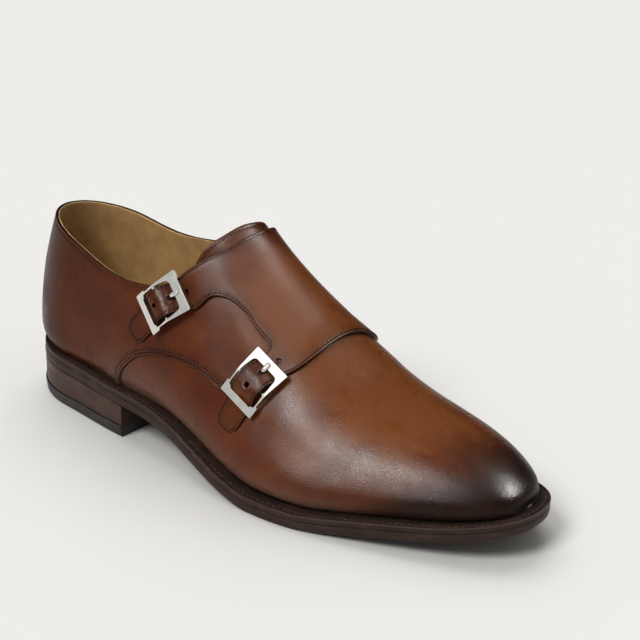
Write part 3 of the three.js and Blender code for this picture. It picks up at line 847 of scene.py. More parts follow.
def mix(tree, factor, first, second, blend="MIX"):
    made = node(tree, "ShaderNodeMix", data_type="RGBA", blend_type=blend)
    for socket, value in ((made.inputs["Factor"], factor), (made.inputs["A"], first), (made.inputs["B"], second)):
        colour = [k for k in made.inputs if k.name == socket.name and k.type == "RGBA"]
        target = socket if socket.name == "Factor" else colour[0]
        if isinstance(value, bpy.types.NodeSocket):
            tree.links.new(value, target)
        else:
            target.default_value = (*value, 1.0) if isinstance(value, tuple) else value
    return [k for k in made.outputs if k.type == "RGBA"][0]


def maths(tree, operation, first, second=0.0, clamp=False):
    made = node(tree, "ShaderNodeMath", operation=operation, use_clamp=clamp)
    for socket, value in zip(made.inputs, (first, second)):
        if isinstance(value, bpy.types.NodeSocket):
            tree.links.new(value, socket)
        else:
            socket.default_value = value
    return made.outputs[0]


def attribute(tree, name):
    return node(tree, "ShaderNodeAttribute", attribute_name=name).outputs["Fac"]


def object_coordinates(tree):
    return tree.nodes.new("ShaderNodeTexCoord").outputs["Object"]


def bump(tree, shader, heights, distance=0.0001, strength=1.0):
    """Chains bump nodes; heights is a list of (height socket, strength)."""
    normal = None
    for height, share in heights:
        made = node(tree, "ShaderNodeBump", inputs={"Strength": share * strength, "Distance": distance})
        tree.links.new(height, made.inputs["Height"])
        if normal is not None:
            tree.links.new(normal, made.inputs["Normal"])
        normal = made.outputs["Normal"]
    tree.links.new(normal, shader.inputs["Normal"])


def calf(name, light, middle, dark, black, roughness=0.30, coat=0.02):
    """Antiqued calf: clouded dye, burnished edges and toe, fine grain under satin polish, with painted shade near
    panel edges and in the stitch grooves, a painted highlight inside the cut edges and a painted floor sheen along
    the welt.
    """
    made, tree, shader = material(name)
    at = object_coordinates(tree)
    cloud = noise(tree, at, 28, 4, 0.55, 0.4)
    fine = noise(tree, at, 190, 5, 0.6)
    tone = maths(tree, "ADD", maths(tree, "MULTIPLY", attribute(tree, "cloud"), 0.42), cloud)
    tone = maths(tree, "ADD", tone, maths(tree, "MULTIPLY", maths(tree, "SUBTRACT", fine, 0.5), 0.10))
    colour = ramp(tree, tone, [(0.22, dark), (0.5, middle), (0.86, light)])
    # Darker within a few mm of each panel's edge: antique dye, and painted shade that deepens the edges.
    antiqued_and_shaded = maths(tree, "MULTIPLY", attribute(tree, "shade"), 0.45)
    colour = mix(tree, antiqued_and_shaded, colour, tuple(k * 0.55 for k in dark))
    edge = attribute(tree, "edge")
    # Painted highlight: a lighter line just inside each cut edge, where the rounded edge would catch the light.
    painted_edge_highlight = ramp(tree, edge, [(0.05, grey(0.0)), (0.40, grey(0.22)), (0.70, grey(0.0))])
    colour = mix(tree, painted_edge_highlight, colour, tuple(min(k * 1.7, 1) for k in light))
    # Dark dye on the cut wall, run in over the rounded edge as painted shade along the edge line.
    cut = ramp(tree, edge, [(0.50, grey(0.0)), (0.85, grey(1.0))])
    colour = mix(tree, cut, colour, tuple(k * 0.3 for k in dark))
    # Painted shade: darker along the grooves under the stitch rows.
    painted_groove_shade = maths(tree, "MULTIPLY", attribute(tree, "seam"), 0.35)
    colour = mix(tree, painted_groove_shade, colour, tuple(k * 0.22 for k in dark))
    rub = maths(tree, "MULTIPLY", maths(tree, "SUBTRACT", noise(tree, at, 60, 4, 0.6), 0.5), 0.22)
    burnt = maths(tree, "ADD", attribute(tree, "burnish"), maths(
        tree, "MULTIPLY", rub, attribute(tree, "burnish")), clamp=True)
    colour = mix(tree, burnt, colour, black)
    # Painted sheen: greyish along the welt, standing in for the floor's reflection.
    colour = mix(tree, attribute(tree, "painted_floor_sheen"), colour, (0.17, 0.115, 0.095))
    tree.links.new(colour, shader.inputs["Base Color"])
    polish = ramp(tree, noise(tree, at, 75, 4, 0.6), [(0.3, grey(roughness - 0.05)), (0.7, grey(roughness + 0.07))])
    tree.links.new(maths(tree, "ADD", polish, attribute(tree, "matte")), shader.inputs["Roughness"])
    shader.inputs["Coat Weight"].default_value = coat
    shader.inputs["Coat Roughness"].default_value = 0.2
    shader.inputs["Specular IOR Level"].default_value = 0.2
    pores = node(tree, "ShaderNodeTexVoronoi", feature="F1", inputs={"Scale": 2300, "Randomness": 1.0})
    tree.links.new(at, pores.inputs["Vector"])
    bump(tree, shader, [(pores.outputs["Distance"], 0.30), (noise(tree, at, 1500, 3, 0.6), 0.26),
                        (noise(tree, at, 120, 3, 0.5), 0.15)], distance=0.00022)
    return made


def plain_leather(name, light, dark, scale=90, roughness=0.62, grain=0.2, coat=0.0, lines=0.0):
    """Undyed or edge-finished leather with a soft mottle."""
    made, tree, shader = material(name)
    at = object_coordinates(tree)
    mottle = noise(tree, at, scale, 5, 0.6, 0.3)
    colour = ramp(tree, mottle, [(0.3, dark), (0.7, light)])
    if lines:
        wave = node(tree, "ShaderNodeTexNoise", inputs={"Scale": 1.0, "Detail": 4.0})
        stretch = node(tree, "ShaderNodeMapping", inputs={"Scale": (60, 60, 1100)})
        tree.links.new(at, stretch.inputs["Vector"])
        tree.links.new(stretch.outputs["Vector"], wave.inputs["Vector"])
        streak = ramp(tree, wave.outputs["Fac"], [(0.35, grey(1 - lines)), (0.65, grey(1.0))])
        colour = mix(tree, 1.0, colour, streak, "MULTIPLY")
    # Painted highlight: lighter where the 'edge' attribute is set; only the welt sets it, along its outer top
    # corner.
    edge = attribute(tree, "edge")
    colour = mix(tree, edge, colour, tuple(min(k * 2.4 + 0.03, 1) for k in light))
    tree.links.new(colour, shader.inputs["Base Color"])
    shine = ramp(tree, noise(tree, at, 140, 4, 0.6), [(0.3, grey(roughness - 0.06)), (0.7, grey(roughness + 0.08))])
    tree.links.new(shine, shader.inputs["Roughness"])
    shader.inputs["Coat Weight"].default_value = coat
    shader.inputs["Coat Roughness"].default_value = 0.3
    shader.inputs["Specular IOR Level"].default_value = 0.2
    bump(tree, shader, [(noise(tree, at, 1300, 3, 0.6), grain), (noise(tree, at, 300, 3, 0.5), grain)],
         distance=0.0003)
    return made


def nickel(name):
    """Polished nickel plate with faint smears."""
    made, tree, shader = material(name)
    at = object_coordinates(tree)
    shader.inputs["Metallic"].default_value = 1.0
    colour = ramp(tree, noise(tree, at, 260, 3, 0.5), [(0.3, (0.72, 0.70, 0.66)), (0.7, (0.78, 0.76, 0.72))])
    tree.links.new(colour, shader.inputs["Base Color"])
    smear = ramp(tree, noise(tree, at, 420, 4, 0.6), [(0.35, grey(0.13)), (0.7, grey(0.26))])
    tree.links.new(smear, shader.inputs["Roughness"])
    bump(tree, shader, [(noise(tree, at, 700, 3, 0.5), 0.05)], distance=0.0001)
    return made


def thread(name, light, dark):
    """Waxed thread with a fine noise bump."""
    made, tree, shader = material(name)
    at = object_coordinates(tree)
    colour = ramp(tree, noise(tree, at, 700, 3, 0.6), [(0.35, dark), (0.65, light)])
    tree.links.new(colour, shader.inputs["Base Color"])
    shader.inputs["Roughness"].default_value = 0.7
    shader.inputs["Specular IOR Level"].default_value = 0.03
    bump(tree, shader, [(noise(tree, at, 2600, 2, 0.5), 0.5)], distance=0.0001)
    return made


def rubber(name):
    made, tree, shader = material(name)
    at = object_coordinates(tree)
    colour = ramp(tree, noise(tree, at, 160, 5, 0.6), [(0.3, (0.030, 0.026, 0.023)), (0.7, (0.050, 0.043, 0.038))])
    tree.links.new(colour, shader.inputs["Base Color"])
    shine = ramp(tree, noise(tree, at, 220, 4, 0.6), [(0.3, grey(0.48)), (0.7, grey(0.62))])
    tree.links.new(shine, shader.inputs["Roughness"])
    bump(tree, shader, [(noise(tree, at, 1800, 3, 0.6), 0.25)], distance=0.0002)
    return made


UPPER_CALF = calf("upper_calf", (0.200, 0.066, 0.017), (0.122, 0.029, 0.006), (0.084, 0.018, 0.0036),
                  (0.026, 0.0115, 0.0070))
LINING = plain_leather("lining_leather", (0.50, 0.335, 0.150), (0.39, 0.25, 0.105))
SOLE_EDGE = plain_leather("sole_edge", (0.066, 0.040, 0.029), (0.042, 0.025, 0.018), roughness=0.46, grain=0.12,
                          coat=0.08, lines=0.25)
HEEL_EDGE = plain_leather("heel_edge", (0.102, 0.060, 0.044), (0.068, 0.039, 0.028), roughness=0.44, grain=0.1,
                          coat=0.08, lines=0.15)
SOLE_BOTTOM = plain_leather("sole_bottom", (0.17, 0.085, 0.042), (0.11, 0.052, 0.026), roughness=0.5)
THREAD = thread("thread_brown", (0.11, 0.042, 0.020), (0.055, 0.020, 0.009))
WELT_THREAD = thread("thread_welt", (0.15, 0.085, 0.060), (0.070, 0.038, 0.026))
# Near-black painted shade for the needle holes, made with the thread material.
PAINTED_HOLE_SHADE = thread("needle_hole_shade", (0.008, 0.004, 0.003), (0.004, 0.002, 0.0015))
NICKEL = nickel("polished_nickel")
RUBBER = rubber("heel_rubber")


# ---------------------------------------------------------------- sub-parts
def vamp():
    """The vamp's whole wall, from under the quarters to the toe."""
    turns = np.linspace(turn_at(70), math.pi, 150)
    angles = np.linspace(0, math.pi, 97)
    turn, angle = np.meshgrid(turns, angles, indexing="ij")
    at = np.stack([turn.ravel(), angle.ravel()], -1)
    top, bottom, under = vamp_levels(at)
    outer = on_last(at[:, 0], at[:, 1], top).reshape(*turn.shape, 3)
    inner = on_last(at[:, 0], at[:, 1], bottom).reshape(*turn.shape, 3)
    covered = under.reshape(turn.shape) > VAMP_UNDERLAP

    def has(i, j):
        x = along(turns[i])
        middle = (angles[j] + angles[j + 1]) / 2
        if covered[i:i + 2, j:j + 2].any():
            return False
        return x >= THROAT_END or not outer_edge(x) < middle < inner_edge(x)

    points, faces, used = closed_shell(outer, inner, has)
    fields = {"edge": np.zeros(len(points))}
    for field, rule in DYE_WEAR_AND_SHEEN.items():
        value = rule(at)
        fields[field] = np.concatenate([value, value])[used]
    return make_piece("vamp", points, faces, UPPER_CALF, ["upper"], fields)


def lining():
    """The quarters' and vamp's lining, with its pale edge at the collar."""
    turns = np.linspace(0, math.pi, 120)
    sides = np.concatenate([np.linspace(0, 0.95, 16), [0.975, 0.987, 0.994, 0.998, 1.0]])
    swell = np.concatenate([np.ones(17), [0.95, 0.8, 0.5, 0.15]])
    over = np.linspace(0, 1, 12)[1:-1]
    rows = []
    heights = []
    for turn in turns:
        x = along(turn)
        a, b = outer_edge(x), inner_edge(x)
        angles = np.concatenate([a * sides, a + (b - a) * over, (math.pi - (math.pi - b) * sides)[::-1]])
        rows.append(np.stack([np.full(len(angles), turn), angles], -1))
        share = np.concatenate([swell, np.ones(len(over)), swell[::-1]])
        heights.append(np.where(x >= THROAT_END, 1.0, share))
    at = np.array(rows)
    middle = -QUARTER_THICKNESS - 0.1 - LINING_THICKNESS / 2
    half = np.array(heights) * LINING_THICKNESS / 2
    outer = on_last(at[..., 0], at[..., 1], middle + half)
    inner = on_last(at[..., 0], at[..., 1], middle - half)
    first, last = len(sides) - 1, len(sides) + len(over)

    def has(i, j):
        return along(turns[i]) >= THROAT_END or not first <= j < last

    points, faces, used = closed_shell(outer, inner, has)
    return make_piece("lining", points, faces, LINING, fields={"edge": np.zeros(len(points))})


def perimeter_turns(count, end=math.pi):
    """Turns once round the shoe: the outer side from heel to toe, then the inner side back."""
    turns = np.linspace(0, end, count)
    return [(turn, -1) for turn in turns] + [(turn, 1) for turn in turns[::-1]]


def edge_points(turns, side, inset):
    """Plan points at an inset from the sole's edge."""
    place, out = outline(turns, side)
    return place + out * (welt_reach(along(turns)) - inset)[:, None]


WELT_PROFILE = [  # share of the welt's width in from its edge, drop from its top
    (0.000, 2.70), (0.000, 1.00), (-0.010, 0.55), (-0.004, 0.22), (0.018, 0.06), (0.045, 0.06),
    (0.070, 0.20), (0.110, 0.16), (0.180, 0.10), (0.215, 0.26), (0.255, 0.30), (0.295, 0.24),
    (0.340, 0.05), (0.480, 0.00), (0.700, 0.00), (0.960, 0.05), (1.000, 0.40), (1.000, 2.70),
]
# Strength of a painted highlight along the welt's outer top corner, one for each profile point.
WELT_EDGE_HIGHLIGHT = [0, 0, 0.3, 1, 1, 0.6, 0.1] + [0] * 11


def welt():
    # shade holds the strength of the painted highlight along the welt's outer top corner.
    rows, shade = [], []
    for turn, side in perimeter_turns(180):
        turns = np.array([turn])
        width = welt_reach(along(turn)) + TUCK + WALL
        row = []
        for share, drop in WELT_PROFILE:
            plan = edge_points(turns, side, np.array([share * width]))[0]
            row.append((plan[0], plan[1], feather_height(plan[0]) - drop))
        rows.append(row)
        shade.append(WELT_EDGE_HIGHLIGHT)
    points = np.array(rows)
    faces = grid_faces(len(rows), len(WELT_PROFILE), close_rows=True, close_columns=True)
    return make_piece("welt", points.reshape(-1, 3), faces, SOLE_EDGE, ["welt"],
                      {"edge": np.array(shade).ravel() * 0.35})


OUTSOLE_PROFILE = [  # inset, share of the thickness down from the top
    (0.35, 0.0), (0.10, 0.03), (0.0, 0.10), (-0.12, 0.40), (-0.05, 0.70), (0.15, 0.86), (0.6, 0.96), (1.3, 1.0),
]


def outsole():
    turns = np.linspace(0, math.pi, 180)
    across = np.linspace(0, 1, 14)[1:-1]

    def side_points(side):
        layers = []
        for inset, share in OUTSOLE_PROFILE:
            plan = edge_points(turns, side, np.full(len(turns), inset))
            drop = WELT_THICKNESS + GAP + share * OUTSOLE_THICKNESS
            layers.append(np.column_stack([plan, feather_height(plan[:, 0]) - drop]))
        return np.array(layers)

    outer, inner = side_points(-1), side_points(1)

    def between(a, b, drop):
        layers = []
        for share in across:
            plan = a[:, :2] + (b[:, :2] - a[:, :2]) * share
            layers.append(np.column_stack([plan, feather_height(plan[:, 0]) - drop]))
        return np.array(layers)

    top = between(inner[0], outer[0], WELT_THICKNESS + GAP)
    bottom = between(outer[-1], inner[-1], SOLE_ALLOWANCE)
    loop = np.concatenate([outer, bottom, inner[::-1], top])
    points = loop.transpose(1, 0, 2)
    faces = grid_faces(points.shape[0], points.shape[1], close_columns=True)
    return make_piece("outsole", points.reshape(-1, 3), faces, SOLE_EDGE, ["outsole"],
                      {"edge": np.zeros(points.shape[0] * points.shape[1])})


def insole():
    """The sock: a slightly dished footbed inside the lining."""
    turns = np.linspace(0, math.pi, 120)
    across = np.linspace(0, 1, 17)
    reach = -(TUCK + WALL + 0.35)
    ends = []
    for side in (-1, 1):
        place, out = outline(turns, side)
        ends.append(place + out * reach)
    layers = []
    for share in across:
        plan = ends[0] + (ends[1] - ends[0]) * share
        dish = 1.6 * (abs(2 * share - 1)**4)
        layers.append(np.column_stack([plan, feather_height(plan[:, 0]) - WELT_THICKNESS
                                       + INSOLE_THICKNESS - 0.4 + dish * 0.5]))
    top = np.array(layers).transpose(1, 0, 2)
    low = top.copy()
    low[..., 2] = feather_height(low[..., 0]) - WELT_THICKNESS
    points, faces, used = closed_shell(top, low)
    return make_piece("insole", points, faces, LINING, ["insole"],
                      {"edge": np.zeros(len(points))})


def heel_outline(height, inset):
    """The heel's outline at a height: round the back, then across the breast."""
    full = feather_height(HEEL_END)
    low = 1 - min(max(height / full, 0), 1)
    turns = np.linspace(turn_at(HEEL_END), 0, 60)
    outer = edge_points(turns, -1, np.full(60, inset))
    inner = edge_points(turns[::-1], 1, np.full(60, inset))
    plan = np.concatenate([outer, inner[1:]])
    back = np.clip(1 - plan[:, 0] / HEEL_PITCH_END, 0, 1)
    x = np.minimum(plan[:, 0] + HEEL_PITCH * low * back, HEEL_END - inset)
    y = plan[:, 1] * (1 - HEEL_TAPER * low)
    ends = np.column_stack([x, y])
    breast = ends[-1] + (ends[0] - ends[-1]) * np.linspace(0, 1, 14)[1:-1, None]
    return np.concatenate([ends, breast])


def heel_block(name, levels, bottom_height, top_height_at, material_used, node_name):
    """Stacked outlines; levels are (share of the height, inset)."""
    rows = []
    for share, inset in levels:
        rough = bottom_height + share * (20.0 - bottom_height)
        plan = heel_outline(rough, inset)
        low = bottom_height
        high = top_height_at(plan[:, 0])
        rows.append(np.column_stack([plan, low + share * (high - low)]))
    points = np.array(rows)
    count = points.shape[1]
    faces = grid_faces(len(rows), count, close_columns=True)
    faces.append(tuple(range(count)))
    faces.append(tuple(range((len(rows) - 1) * count, len(rows) * count)))
    return make_piece(name, points.reshape(-1, 3), faces, material_used, [node_name],
                      {"edge": np.zeros(points.shape[0] * count)}, sharp=30)


def heel():
    heel_block("heel_top_piece", [(0, 0.5), (0.04, 0.2), (0.1, 0), (0.9, 0), (0.97, 0.06), (1, 0.25)],
               0.0, lambda x: np.full(len(x), TOP_PIECE_THICKNESS), RUBBER, "heel_top_piece")
    lifts = [(0, 0.25), (0.02, 0.05), (0.05, 0)]
    for line in (0.33, 0.66):
        lifts += [(line - 0.012, 0), (line, 0.035), (line + 0.012, 0)]
    lifts += [(0.96, 0), (0.985, 0.05), (1, 0.25)]
    heel_block("heel_stack", lifts, TOP_PIECE_THICKNESS + GAP / 3,
               lambda x: feather_height(x) - SOLE_ALLOWANCE - GAP / 3, HEEL_EDGE, "heel_stack")


def hole_loop(strap, u, v, radius):
    turn = np.linspace(0, 2 * math.pi, 15)[:-1]
    loop = spots(strap.rows(u + radius * np.cos(turn), v + radius * np.sin(turn)))
    plane = pattern(loop)
    area = (plane[:, 0] * np.roll(plane[:, 1], -1) - np.roll(plane[:, 0], -1) * plane[:, 1]).sum()
    return loop[::-1] if area > 0 else loop


FLAP_ROW = beside(joined(INNER["collar"], INNER["flap"]), 1.35)
WING_INNER_ROWS = [beside(INNER["wing"], d) for d in (1.35, 3.1)]
WING_OUTER_ROWS = [beside(OUTER["wing"], d) for d in (1.35, 3.1)]
COLLAR_ROW = beside(OUTER["collar"], 2.3)


def quarters():
    outer = Panel(list(OUTER.values()), outer_levels, soft=0.55, grooves=[*WING_OUTER_ROWS, COLLAR_ROW])
    outer.piece("outer_quarter", UPPER_CALF, "upper_leather")
    holes = [hole_loop(strap, u, 0, HOLE_RADIUS) for strap in STRAPS.values() for u in STRAP_HOLES]
    inner = Panel(list(INNER.values()), inner_levels, holes=holes, soft=0.6, straps=STRAPS.values(),
                  grooves=[FLAP_ROW, *WING_INNER_ROWS])
    inner.piece("inner_quarter_flap", UPPER_CALF, "flap_leather", ["monk_flap"])
    return outer, inner


def tongue_levels(at):
    x = along(at[:, 0])
    degrees = np.degrees(at[:, 1])
    rise = (smoothstep(degrees - np.degrees(outer_edge(x)), 4.5, 16.5)
            * smoothstep(np.degrees(inner_edge(x)) - degrees, 4.5, 16.5)
            * smoothstep(THROAT_END - 6 - x, 0, 14))
    top = 2.4 * rise - WALL - 0.6
    return top, top - TONGUE_THICKNESS


def tongue():
    top = spread(spots(TONGUE_TOP), EDGE_STEP)
    right = spread(spots([(131, 124), (196, 124)]), EDGE_STEP, smooth=False)
    front = spread(spots([(196, 124), (196, 50)]), EDGE_STEP, smooth=False)
    left = spread(spots([(196, 50), (150, 46), (112, 40)]), EDGE_STEP, smooth=False)
    row = beside(top[:, :], -2.2)
    loop = [part[::-1] for part in (left, front, right, top)]
    panel = Panel(loop, tongue_levels, soft=0.9, grooves=[row])
    panel.piece("tongue", UPPER_CALF, "tongue_leather", ["tongue"])
    return panel, row


# ---------------------------------------------------------------- stitches
def stitch_mesh(starts, ends, ups, radius, lift, sides=6, rings=7):
    """Joined threads, each arched from hole to hole."""
    share = np.linspace(0, 1, rings)
    arch = np.sin(math.pi * share)**0.6
    thick = radius * np.sqrt(np.maximum(1 - (2 * share - 1)**6, 0.02))
    around = np.linspace(0, 2 * math.pi, sides + 1)[:-1]
    way = unit(ends - starts)
    up = unit(ups - way * (ups * way).sum(-1, keepdims=True))
    across = np.cross(way, up)
    centre = (starts[:, None] + (ends - starts)[:, None] * share[:, None]
              + up[:, None] * ((arch - 1) * radius * 1.3 + lift)[:, None])
    ring = (across[:, None, None] * np.cos(around)[:, None] + up[:, None, None] * np.sin(around)[:, None])
    points = centre[:, :, None] + ring * thick[:, None, None]
    faces = []
    count = rings * sides
    cell = grid_faces(rings, sides, close_columns=True)
    cell += [tuple(range(sides)), tuple(range(count - sides, count))]
    for k in range(len(starts)):
        faces += [tuple(i + k * count for i in face) for face in cell]
    return points.reshape(-1, 3), faces


def place_stitches(points, ups, pitch, share=0.74):
    """Start and end of each stitch along a path of points."""
    gaps = np.linalg.norm(np.diff(points, axis=0), axis=1)
    place = np.concatenate([[0], np.cumsum(gaps)])
    count = int(place[-1] / pitch)
    starts = (np.arange(count) + 0.5 * (1 - share)) * place[-1] / count
    ends = starts + share * place[-1] / count

    def at(where, values):
        return np.stack([np.interp(where, place, values[:, k]) for k in range(3)], -1)

    return at(starts, points), at(ends, points), at((starts + ends) / 2, ups)


def stitches(name, rows, pitch=2.1, radius=0.24, lift=-0.08, pit=0.6, material_used=None):
    """rows are (points, ups) paths; makes the threads, and dark blobs between them as painted shade in the needle
    holes.
    """
    starts, ends, ups = (np.concatenate(k) for k in zip(*[place_stitches(p, u, pitch) for p, u in rows]))
    points, faces = stitch_mesh(starts, ends, ups, radius, lift)
    make_piece(name, points, faces, material_used or THREAD, sharp=60)
    # Dark blobs at the stitch ends: painted shade standing in for the needle holes.
    way = unit(ends - starts) * 0.55 * pit
    points, faces = stitch_mesh(ends - way * 0.4, ends + way * 1.6, ups, pit, -0.3 * pit, rings=5)
    make_piece(name + "_holes", points, faces, PAINTED_HOLE_SHADE, sharp=60)


def row_on(panel, row, keep=None):
    row = row[1:-1]
    if keep is not None:
        row = row[keep(row)]
    top, _ = panel.surface(row)
    return top, last_normal(*row.T)


# ---------------------------------------------------------------- buckles
def rounded(corners, radius):
    """A closed outline with its corners as arcs; radius is one number or one for each corner."""
    corners = np.asarray(corners, float)
    radii = np.broadcast_to(radius, len(corners))
    points = []
    for k, corner in enumerate(corners):
        before = unit(corners[k - 1] - corner)
        after = unit(corners[(k + 1) % len(corners)] - corner)
        half = math.acos(np.clip(before @ after, -1, 1)) / 2
        if radii[k] <= 0 or abs(half - math.pi / 2) < 1e-3:
            points.append(corner)
            continue
        reach = radii[k] / math.tan(half)
        centre = corner + unit(before + after) * radii[k] / math.sin(half)
        start = corner + before * reach - centre
        end = corner + after * reach - centre
        turn = math.acos(np.clip(unit(start) @ unit(end), -1, 1))
        for t in np.linspace(0, 1, 6):
            points.append(centre + (start * math.sin((1 - t) * turn) + end * math.sin(t * turn)) / math.sin(turn))
    return np.array(points)


# Half of the plate's outline and of its window, front to rear: u, v.
PLATE_HALF = [(-14, 10.75), (-3, 10.15), (5.4, 9.75), (6.5, 9.75), (6.9, 10.75), (12.8, 10.75)]
PLATE_ROUND = [0.7, 0, 0, 0, 0.3, 0.7]
WINDOW_HALF = [(-9.5, 7.7), (-3, 8.55), (5.6, 8.9), (7.6, 8.7), (8.2, 7.3), (9.1, 6.7)]
WINDOW_ROUND = [2.3, 0, 0, 0.3, 0.3, 0.3]


def mirrored(half, radii):
    """A whole outline, and its corner radii, from the half on the toe's side."""
    half = np.array(half, float)
    return rounded(np.concatenate([half, half[::-1] * (1, -1)]), [*radii, *radii[::-1]])


def buckle_plate():
    return [mirrored(PLATE_HALF, PLATE_ROUND), mirrored(WINDOW_HALF, WINDOW_ROUND)]


def centre_bar(name, strap):
    """The round bar the strap is folded over, low between the arms."""
    around = np.linspace(0, 2 * math.pi, 17)[:-1]
    ends = [strap.point(0.9 * np.cos(around), v, strap.crown + 0.55 + 0.9 * np.sin(around))
            for v in (np.full(16, -9.2), np.full(16, 9.2))]
    faces = grid_faces(2, 16, close_columns=True) + [tuple(range(16)), tuple(range(16, 32))]
    return make_piece(name, np.concatenate(ends), faces, NICKEL)


def buckle_frame(name, strap):
    loops = buckle_plate()
    points = np.concatenate(loops)
    edges, count = [], 0
    for loop in loops:
        number = np.arange(len(loop)) + count
        edges += list(zip(number.tolist(), np.roll(number, -1).tolist()))
        count += len(loop)
    bend = [(0.0, -FRAME_HALF), (0.0, FRAME_HALF)]
    points = np.concatenate([points, bend])
    edges.append((count, count + 1))
    found = delaunay_2d_cdt([Vector(p) for p in points], edges, [], 0, 1e-5, True)
    plan = np.array([list(p) for p in found[0]])
    triangles = np.array(found[2])
    triangles = triangles[inside(plan[triangles].mean(1), loops)]
    work = bmesh.new()
    verts = [work.verts.new((*p, 0.0)) for p in plan]
    for t in triangles:
        work.faces.new([verts[k] for k in t])
    bmesh.ops.delete(work, geom=[v for v in work.verts if not v.link_faces], context="VERTS")
    raised = bmesh.ops.extrude_face_region(work, geom=work.faces[:])
    bmesh.ops.translate(work, vec=(0, 0, FRAME_THICKNESS),
                        verts=[g for g in raised["geom"] if isinstance(g, bmesh.types.BMVert)])
    rim = [e for e in work.edges if len(e.link_faces) == 2 and e.calc_face_angle(0) > 1.0
           and abs(e.verts[0].co.z - e.verts[1].co.z) < 1e-6]
    bmesh.ops.recalc_face_normals(work, faces=work.faces)
    bmesh.ops.bevel(work, geom=rim, offset=0.22, offset_type="OFFSET", segments=3, profile=0.6, affect="EDGES")
    mesh = bpy.data.meshes.new(name)
    work.to_mesh(mesh)
    work.free()
    co = np.array([v.co for v in mesh.vertices])
    under = strap.crown - FRAME_SLOPE * (np.sqrt(co[:, 0]**2 + 0.8) - math.sqrt(0.8))
    placed = strap.point(co[:, 0], co[:, 1], under + co[:, 2])
    return make_piece(name, placed, [tuple(p.vertices) for p in mesh.polygons], NICKEL,
                      [name], sharp=35)


PRONG = [(2.15, 0.5), (1.7, -0.8), (0, -1.35), (-2.4, -1.15), (-4.4, -0.75), (-6.2, -0.15), (-7.8, 0.5),
         (-9.6, 0.5), (-12.4, -0.1)]


def prong(name, strap):
    """A flattened rod hooked round the centre bar, out through the hole and on to the front bar."""
    rows = np.array(PRONG)
    place = np.concatenate([[0], np.cumsum(np.linalg.norm(np.diff(rows, axis=0), axis=1))])
    fine = np.linspace(0, place[-1], 40)
    u, over = spline(place, rows[:, 0])(fine), spline(place, rows[:, 1])(fine)
    du, dw = np.gradient(u), np.gradient(over)
    size = np.hypot(du, dw)
    normal = np.stack([-dw / size, du / size], -1)
    if normal[-1, 1] < 0:
        normal = -normal
    around = np.linspace(0, 2 * math.pi, 13)[:-1]
    left = place[-1] - fine
    swell = np.sqrt(np.clip(1 - np.clip(1 - left / 1.2, 0, 1)**2, 0.03, 1))
    wide = (0.85 + 0.35 * smoothstep(-u, 5, 9)) * swell
    deep = 0.6 * (0.45 + 0.55 * swell)
    rings = []
    for k in range(len(fine)):
        across = wide[k] * np.cos(around)
        up = deep[k] * np.sin(around)
        rings.append(strap.point(u[k] + normal[k, 0] * up, across, strap.crown + over[k] + normal[k, 1] * up))
    points = np.array(rings)
    faces = grid_faces(len(fine), 12, close_columns=True)
    faces += [tuple(range(12)), tuple(range(len(fine) * 12 - 12, len(fine) * 12))]
    return make_piece(name, points.reshape(-1, 3), faces, NICKEL, [name], sharp=50)


# ---------------------------------------------------------------- building
vamp()
lining()
OUTER_PANEL, INNER_PANEL = quarters()
TONGUE_PANEL, TONGUE_ROW = tongue()
welt()
outsole()
insole()
heel()
for side_name, strap_frame in STRAPS.items():
    buckle_frame("buckle_frame_" + side_name, strap_frame)
    centre_bar("buckle_bar_" + side_name, strap_frame)
    prong("buckle_prong_" + side_name, strap_frame)

stitches("quarter_stitches", [row_on(OUTER_PANEL, row, lambda row: along(row[:, 0]) < 156)
                              for row in WING_OUTER_ROWS], pitch=1.9)
stitches("collar_stitches", [row_on(OUTER_PANEL, COLLAR_ROW, lambda row: along(row[:, 0]) < 108)],
         pitch=1.9, radius=0.18, lift=-0.1, pit=0.26)
stitches("flap_stitches", [row_on(INNER_PANEL, FLAP_ROW)]
         + [row_on(INNER_PANEL, row) for row in WING_INNER_ROWS], pitch=2.1)
stitches("tongue_stitches", [row_on(TONGUE_PANEL, TONGUE_ROW)], pitch=2.2)


def welt_row():
    points = []
    for turn, side in perimeter_turns(240):
        x = along(turn)
        if x < 62:
            continue
        width = welt_reach(x) + TUCK + WALL
        plan = edge_points(np.array([turn]), side, np.array([0.255 * width]))[0]
        points.append((plan[0], plan[1], feather_height(plan[0]) - 0.28))
    points = np.array(points)
    return points, np.tile((0.0, 0.0, 1.0), (len(points), 1))


stitches("welt_stitches", [welt_row()], pitch=3.0, radius=0.4, lift=0.12,
         material_used=WELT_THREAD)


# ---------------------------------------------------------------- stage
def floor():
    made, tree, shader = material("pale_floor")
    shader.inputs["Base Color"].default_value = (0.727, 0.722, 0.706, 1)
    shader.inputs["Roughness"].default_value = 0.9
    shader.inputs["Specular IOR Level"].default_value = 0.1
    bpy.ops.mesh.primitive_plane_add(size=40)
    plane = bpy.context.object
    plane.name = "floor"
    plane.data.materials.append(made)


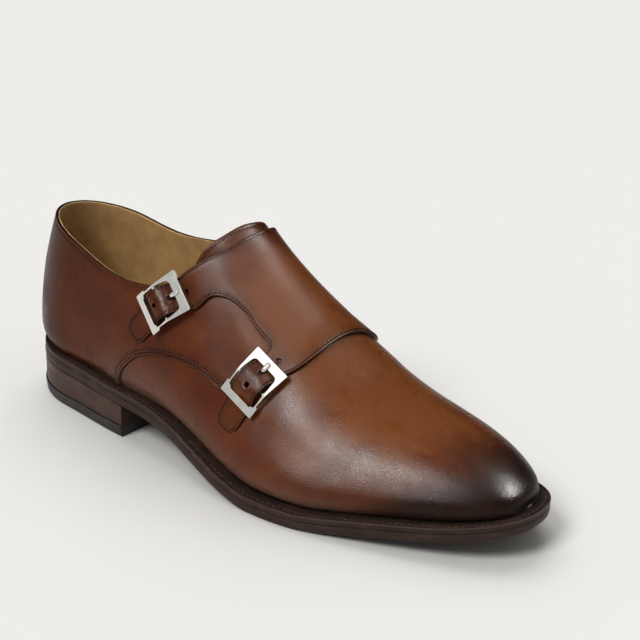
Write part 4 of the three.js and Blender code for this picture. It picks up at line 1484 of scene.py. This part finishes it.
def far_light(name, azimuth, elevation, spread_angle, strength, fills=True, shines=True,
              only_on=None, blocked_by=None):
    """A distant soft light; azimuth 0 is the shoe's outer side, and the spread is its width."""
    data = bpy.data.lights.new(name, "SUN")
    data.energy = strength
    data.angle = math.radians(spread_angle)
    azimuth, elevation = math.radians(azimuth), math.radians(elevation)
    back = Vector((math.sin(azimuth) * math.cos(elevation), -math.cos(azimuth) * math.cos(elevation),
                   math.sin(elevation)))
    lamp = bpy.data.objects.new(name, data)
    lamp.rotation_mode = "QUATERNION"
    lamp.rotation_quaternion = back.to_track_quat("Z", "Y")
    lamp.location = back
    lamp.visible_diffuse = fills
    lamp.visible_glossy = shines
    if only_on:
        lamp.light_linking.receiver_collection = only_on
    if blocked_by:
        lamp.light_linking.blocker_collection = blocked_by
    bpy.context.scene.collection.objects.link(lamp)


def shine_groups():
    """Leather pieces and metal pieces, so that each gets its own highlights."""
    leather, metal = (bpy.data.collections.new(k) for k in ("leather_pieces", "metal_pieces"))
    for piece in bpy.context.scene.objects:
        if piece.type == "MESH" and piece.name != "floor":
            group = metal if NICKEL.name in piece.data.materials else leather
            group.objects.link(piece)
    return leather, metal


def lights():
    """Two wide lights fill; the polish shines under one over the outer side and one by the toe."""
    world = bpy.data.worlds.new("studio")
    world.use_nodes = True
    world.node_tree.nodes["Background"].inputs["Color"].default_value = (1.0, 0.985, 0.96, 1)
    world.node_tree.nodes["Background"].inputs["Strength"].default_value = 0.43
    world.cycles_visibility.glossy = False
    bpy.context.scene.world = world
    leather, metal = shine_groups()
    far_light("outer_fill", -6, 46, 24, 2.05, shines=False)
    far_light("back_fill", -132, 56, 50, 1.25, shines=False)
    far_light("metal_glow", -6, 44, 44, 0.38, fills=False, only_on=metal)
    far_light("metal_sky", 0, 90, 180, 2.1, fills=False, only_on=metal)
    far_light("outer_shine", -6, 41, 17, 5.2, fills=False, only_on=leather)
    far_light("toe_shine", 113, 44, 13, 8.5, fills=False, only_on=leather)
    far_light("top_shine", 34, 60, 36, 0.5, fills=False, only_on=leather)
    far_light("floor_glow", -45, -18, 56, 0.3, fills=False, only_on=leather, blocked_by=leather)


# The photographer's place: azimuth, elevation and roll in degrees, the camera's own place in
# metres, and the lens.
AZIMUTH, ELEVATION, ROLL = 35.31, 21.98, 3.67
CAMERA_PLACE = (0.4642, -0.6187, 0.3861)
LENS = 96.97


def camera():
    data = bpy.data.cameras.new("camera")
    data.lens = LENS
    data.sensor_width = 36.0
    azimuth, elevation, roll = (math.radians(k) for k in (AZIMUTH, ELEVATION, ROLL))
    back = Vector((math.sin(azimuth) * math.cos(elevation), -math.cos(azimuth) * math.cos(elevation),
                   math.sin(elevation)))
    right = Vector((math.cos(azimuth), math.sin(azimuth), 0))
    up = back.cross(right)
    rolled_right = right * math.cos(roll) + up * math.sin(roll)
    rolled_up = up * math.cos(roll) - right * math.sin(roll)
    turned = Matrix((rolled_right, rolled_up, back)).transposed().to_4x4()
    made = bpy.data.objects.new("camera", data)
    made.matrix_world = Matrix.Translation(CAMERA_PLACE) @ turned
    bpy.context.scene.collection.objects.link(made)
    bpy.context.scene.camera = made


floor()
lights()
camera()
bpy.context.scene.view_settings.view_transform = "Standard"
bpy.context.scene.view_settings.gamma = 0.85
